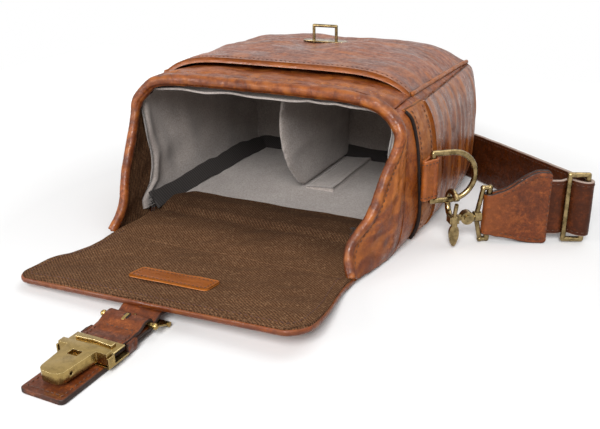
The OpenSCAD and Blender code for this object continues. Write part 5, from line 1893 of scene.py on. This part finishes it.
@dataclass
class StrapEnds:
    """Ring tabs, rings, hooks, strap ends and the shoulder strap."""

    shape: BagShape = SHAPE
    bar: tuple[float, float] = (124.74 * MM, -65 * MM)
    tab_z: float = 53 * MM
    tab_w: float = 30 * MM
    turns: dict = field(default_factory=lambda: {Side.RIGHT: (38.0, 35.0, 21.6),
                                                 Side.LEFT: (122.0, 104.0, 96.0)})
    eye_at: float = 16 * MM
    eye_aside: float = 2 * MM
    frame_at: float = 28 * MM
    leather: float = 2.2 * MM
    play: float = 0.06 * MM
    ring_wire: float = 2.1 * MM
    frame_wire: float = 2.2 * MM
    chape_len: float = 43 * MM
    strap_w: float = 42 * MM
    strap_t: float = 2.6 * MM
    slider_at: float = 56 * MM
    slider_l: float = 13 * MM

    def ahead(self, degrees: float) -> Array:
        """Flat unit vector at an angle from +X."""
        a = np.radians(degrees)
        return np.array([np.cos(a), np.sin(a)])

    def frame_bar(self, side: Side) -> Array:
        """Place of a hook frame's upright bar, from the ring's turn and the hook's.

        Args:
            side: which side.
        Returns:
            Its x and y.
        """
        ring, hook, _ = self.turns[side]
        eye = self.bar * np.array([side.value, 1]) + self.eye_at * self.ahead(ring)
        eye = eye - side.value * self.eye_aside * self.ahead(ring + 90)
        return eye + self.frame_at * self.ahead(hook)

    def ring_tab(self, side: Side) -> None:
        """Ring tab: a strap folded flat towards the mouth, over the ring's bar and down behind it.

        Args:
            side: which side.
        """
        count = 110
        x, y = self.bar
        r = self.ring_wire + self.play + self.leather / 2
        foot = y + 12.5 * MM
        turn = np.linspace(-np.pi / 3, np.pi / 12, 12)
        over = np.stack([x + r * np.cos(turn), y + r * np.sin(turn)], 1)
        turn = np.linspace(np.pi, 2 * np.pi, 8)
        front = np.stack([x - r + (0.6 + 1.2 * np.cos(turn)) * MM, y + (1.2 * np.sin(turn) - 9.5) * MM], 1)
        start = [[x - r, foot], [x - r, y], [x - r - 0.5 * MM, y - 7 * MM]]
        end = [[x + r * 0.9, y + 3.5 * MM], [x - r + 2.6 * MM, y + 8.5 * MM], [x - r + 2.3 * MM, foot]]
        flat = resample(cut_corners(np.concatenate([start, front, over, end]), 2), count) * [side.value, 1]
        path = xyz(flat[:, 0], flat[:, 1], self.tab_z)
        piece = ribbon(f"ring_tab_leather_{side.word}", path, UP, self.tab_w, self.leather)
        piece.marks["wear"] = 0.2 * bell(np.arange(count), count / 2, 16.0)[:, None]
        piece.build(COGNAC, "bag", "leather", [f"ring_tab_{side.word}"])
        sewn = np.linspace(42, 92, 60).astype(int)
        out = side.value * np.cross(np.gradient(path, axis=0), UP)[sewn]
        run = path[sewn] + 1.15 * MM * unit(out)
        rows = [(run + aside * 12.5 * MM * UP, out) for aside in (-1, 1)]
        stitches(f"ring_tab_stitches_{side.word}", rows, 2.2 * MM, 1.1 * MM).build(
            DARK_THREAD, "bag", "leather")

    def chape(self, side: Side) -> None:
        """Strap end: leather folded round the frame's bar, its two leaves widening to hold the strap.

        Args:
            side: which side.
        """
        way, length = self.turns[side][2], self.chape_len
        ahead, aside = self.ahead(way), self.ahead(way + 90)
        gap = self.strap_t / 2 + 0.05 * MM + self.leather / 2
        r = self.frame_wire + self.play + self.leather / 2
        turn = np.linspace(np.pi / 2, 1.5 * np.pi, 24)
        leaf = np.array([[length, gap], [length / 2, gap], [9 * MM, gap + 0.2 * MM]])
        bend = r * np.stack([np.cos(turn), np.sin(turn)], 1)
        flat = resample(np.concatenate([leaf, bend, leaf[::-1] * [1, -1]]), 240)
        share = np.clip(flat[:, 0] / length, 0, 1)
        grow = smooth((share - 0.1) / 0.72)
        tip = np.clip((flat[:, 0] - length + 3 * MM) / (3 * MM), 0, 1)
        rounded_tip = 5 * (1 - np.sqrt(1 - 0.98 * tip ** 2))
        width = (32 + 3 * smooth(share / 0.17) - rounded_tip + 20.5 * grow) * MM
        place = self.frame_bar(side) + flat[:, :1] * ahead + flat[:, 1:] * aside
        path = xyz(place[:, 0], place[:, 1], (22.6 + 5.6 * grow) * MM)
        piece = ribbon(f"chape_leather_{side.word}", path, UP, width, self.leather,
                       wave=(0.15 * MM, 0.02, 120))
        piece.marks["wear"] = np.clip(0.3 * (1 - share / 0.5), 0.0, 0.3)[:, None]
        body = f"ring_{side.word[0]}"
        piece.build(LOCK_LEATHER, body, "leather", [f"chape_{side.word}"])
        rows = []
        for face in (1, -1):
            on_face = (flat[:, 1] * face > 0.5 * MM) & (flat[:, 0] > 8 * MM)
            order = np.nonzero(on_face)[0][::face][2:]
            normal = face * np.array([*aside, 0.0])
            line = path[order] + 1.2 * MM * normal
            reach = (width[order] / 2 - 3.4 * MM)[:, None] * UP
            rows.append((resample(np.concatenate([(line + reach)[::-1], line - reach]), 260), normal))
        stitches(f"chape_stitches_{side.word}", rows, 2.4 * MM, 1.2 * MM).build(DARK_THREAD, body, "leather")

    def strap_route(self) -> Array:
        """Route of the strap from the right chape round the slider, behind the bag and to the left chape.

        The points are those of the part's source; each corner is cut three times.

        Returns:
            Points with the height of the strap's lower edge.
        """
        low, floor = 7.2 * MM, 0.2 * MM
        right, left = Side.RIGHT, Side.LEFT

        def along(side: Side, s: float, n: float = 0.0) -> list[float]:
            """Point at a distance along a chape's middle line and another beside it, in millimetres."""
            ahead, aside = (self.ahead(self.turns[side][2] + turn) for turn in (0, 90))
            return [*(self.frame_bar(side) + s * MM * ahead + n * MM * aside), low]

        w, d, past, rear, layer = 107.0, 95.0, 3.8, 105.0, 9.0
        second, third = rear + layer, rear + 2 * layer
        reach = self.chape_len / MM
        near = self.slider_at / MM
        far = near + self.slider_l / MM
        behind = [[w + 16, d - 2], [w - 8, rear], [0, rear], [-w + 10, rear], [-w - 4, rear + layer / 2],
                  [-w + 10, second], [0, second], [w - 34, second], [w - 20, rear + 1.5 * layer],
                  [w - 34, third], [0, third], [-w + 10, third], [-w - 28, second], [-w - 29, d - 20]]
        slider = [(near - 5, 0), (near - 1, past), (near + 2, past), (far - 4, -past), (far + 1, -past - 0.6),
                  (far + past, -1), (far + past - 1, past), (far - 4, past + 8)]
        route = [along(right, 22), along(right, reach + 4), *[along(right, s, n) for s, n in slider],
                 *[[x * MM, y * MM, floor] for x, y in behind], along(left, reach + 25), along(left, 22)]
        return cut_corners(np.array(route), 3)

    def strap(self) -> None:
        """Shoulder strap standing on its edge, in two pieces that meet behind the bag."""
        path = resample(self.strap_route(), 700) + self.strap_w / 2 * UP
        middle = 330
        parts = {Side.RIGHT: path[:middle + 1], Side.LEFT: path[middle:]}
        sewn_up = (self.strap_w / 2 - 3 * MM) * UP
        for side, line in parts.items():
            name = f"shoulder_strap_{side.word}"
            piece = ribbon(name, line, UP, self.strap_w, self.strap_t, wave=(0.1 * MM, 0.03, 130))
            self.follow(piece.build(STRAP, None, "strap_leather", ["shoulder_strap"]), side)
            out = np.cross(unit(np.gradient(line, axis=0)), UP)
            rows = [(line + 1.35 * MM * face * out + up * sewn_up, face * out)
                    for face in (1, -1) for up in (1, -1)]
            sewn = stitches(name + "_stitches", rows, 2.6 * MM, 1.4 * MM, 0.6 * MM)
            self.follow(sewn.build(DARK_THREAD, None, "strap_leather"), side)

    def follow(self, piece: bpy.types.Object, side: Side) -> None:
        """Bakes a strap piece's transform into its mesh, the same for both sides.

        Args:
            piece: strap piece.
            side: side of its strap end.
        """
        if side is Side.RIGHT:
            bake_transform(piece)
        else:
            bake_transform(piece)

    def build(self) -> None:
        """Makes both strap ends and the strap."""
        for side in Side:
            self.ring_tab(side)
            self.chape(side)
            for node in ("ring", "hook", "gate", "frame"):
                dress(f"{node}_{side.word}", OLD_BRASS)
        for node in ("slider", "lock_staple"):
            dress(node, OLD_BRASS)
        soften("staple_plate", 0.3 * MM, "bag", OLD_BRASS)
        self.strap()


def placed(name: str, data: bpy.types.ID, axes: Sequence[Array], place: Sequence[float]) -> bpy.types.Object:
    """New camera or lamp, turned to its axes.

    Args:
        name: object name.
        data: camera or light.
        axes: directions of its right, its up and its back.
        place: where it stands.
    Returns:
        The object.
    """
    made = bpy.data.objects.new(name, data)
    bpy.context.scene.collection.objects.link(made)
    matrix = np.eye(4)
    matrix[:3] = np.stack([*axes, place], 1)
    made.matrix_world = Matrix(matrix.tolist())
    return made


@dataclass
class Studio:
    """White floor, soft light and the photograph's camera."""

    lens: float = 44.87
    sensor: float = 36.0
    place: tuple[float, float, float] = (0.2652, -0.5609, 0.2330)
    yaw: float = 0.46195
    pitch: float = 0.38772
    roll: float = -0.016366
    white: str = "#ffffff"
    floor_grey: str = "#e4e4e4"

    def camera(self) -> None:
        """Camera fitted to the photograph: yaw from +Y, pitch down, then roll."""
        level = np.array([-np.sin(self.yaw), np.cos(self.yaw), 0.0])
        ahead = level * np.cos(self.pitch) - UP * np.sin(self.pitch)
        right = np.array([np.cos(self.yaw), np.sin(self.yaw), 0.0])
        up = np.cross(right, ahead)
        tilted_right = right * np.cos(self.roll) + up * np.sin(self.roll)
        tilted_up = up * np.cos(self.roll) - right * np.sin(self.roll)
        data = bpy.data.cameras.new("camera")
        data.sensor_width = self.sensor
        data.lens = self.lens
        bpy.context.scene.camera = placed("camera", data, (tilted_right, tilted_up, -ahead), self.place)

    def lamp(self, name: str, place: Sequence[float], aim: Sequence[float], size: float,
             power: float) -> None:
        """Square soft box that faces a point.

        Args:
            name: lamp name.
            place: where it stands.
            aim: point that it faces.
            size: side of the square.
            power: light power in watts.
        """
        data = bpy.data.lights.new(name, "AREA")
        data.size = size
        data.energy = power
        back = unit(np.array(place, float) - np.array(aim, float))
        right = unit(np.cross([0.0, 1.0, 0.001], back))
        placed(name, data, (right, np.cross(back, right), back), place)

    def floor(self) -> None:
        """Pale floor just under the bag; away from its shadow it glows to the camera until it is white."""
        count = 9
        x, y = grid((-0.7, 0.7, count), (-0.8, 0.55, count))
        points = xyz(x, y, -0.05 * MM).reshape(-1, 3)
        mesh = bpy.data.meshes.new("studio_floor")
        mesh.from_pydata(points.tolist(), [], grid_quads(count, count).tolist())
        material = bpy.data.materials.new("studio_floor_white")
        material.use_nodes = True
        tree = material.node_tree
        tree.nodes.clear()
        matt = add_node(tree, "BsdfDiffuse", Color=linear(self.floor_grey))
        ray = add_node(tree, "LightPath")
        away = add_node(tree, "Mapping", links={"Vector": add_node(tree, "TexCoord").outputs["Object"]},
                        Location=(-0.03, 0.08, 0.0))
        far = add_node(tree, "VectorMath", {"operation": "LENGTH"}, {0: away})
        glow_far = add_node(tree, "MapRange", links={"Value": far.outputs["Value"]}, From_Min=0.24,
                            From_Max=0.5, To_Min=0.03, To_Max=0.5)
        lift = add_node(tree, "Math", {"operation": "MULTIPLY"},
                        {0: ray.outputs["Is Camera Ray"], 1: glow_far})
        glow = add_node(tree, "Emission", links={"Strength": lift}, Color=linear(self.white))
        both = add_node(tree, "AddShader", links={0: matt, 1: glow})
        add_node(tree, "OutputMaterial", links={"Surface": both})
        mesh.materials.append(material)
        floor = bpy.data.objects.new("studio_floor", mesh)
        bpy.context.scene.collection.objects.link(floor)

    def world(self) -> None:
        """White surroundings: full white to the camera and in reflections, softer as light."""
        world = bpy.data.worlds.new("studio")
        bpy.context.scene.world = world
        world.use_nodes = True
        tree = world.node_tree
        tree.nodes.clear()
        ray = add_node(tree, "LightPath")
        seen = ray.outputs["Is Camera Ray"]
        for kind in ("Is Transmission Ray", "Is Glossy Ray"):
            seen = add_node(tree, "Math", {"operation": "MAXIMUM"}, {0: seen, 1: ray.outputs[kind]})
        light, shown = (add_node(tree, "Background", Color=linear(self.white), Strength=strength)
                        for strength in (0.24, 1.0))
        both = add_node(tree, "MixShader", links={0: seen, 1: light, 2: shown})
        add_node(tree, "OutputWorld", links={"Surface": both})

    def build(self) -> None:
        """Makes the whole set."""
        self.camera()
        self.floor()
        self.world()
        self.lamp("softbox_above", (0.6, 0.5, 2.1), (0.0, 0.0, 0.0), 2.0, 19.0)
        self.lamp("softbox_front", (0.55, -1.65, 1.2), (0.0, -0.08, 0.05), 0.8, 46.0)
        self.lamp("softbox_left", (-0.9, -1.3, 0.45), (0.0, -0.08, 0.05), 0.6, 8.0)
        bpy.context.scene.view_settings.view_transform = "Standard"


def main() -> None:
    """Builds the studio and every sub-assembly."""
    logging.basicConfig(level=logging.INFO, format="%(message)s")
    for part in (Studio(), BodyShell(), MouthRim(), Lining(), Flap(), LockStrap(), StrapEnds()):
        part.build()


if __name__ == "__main__":
    main()
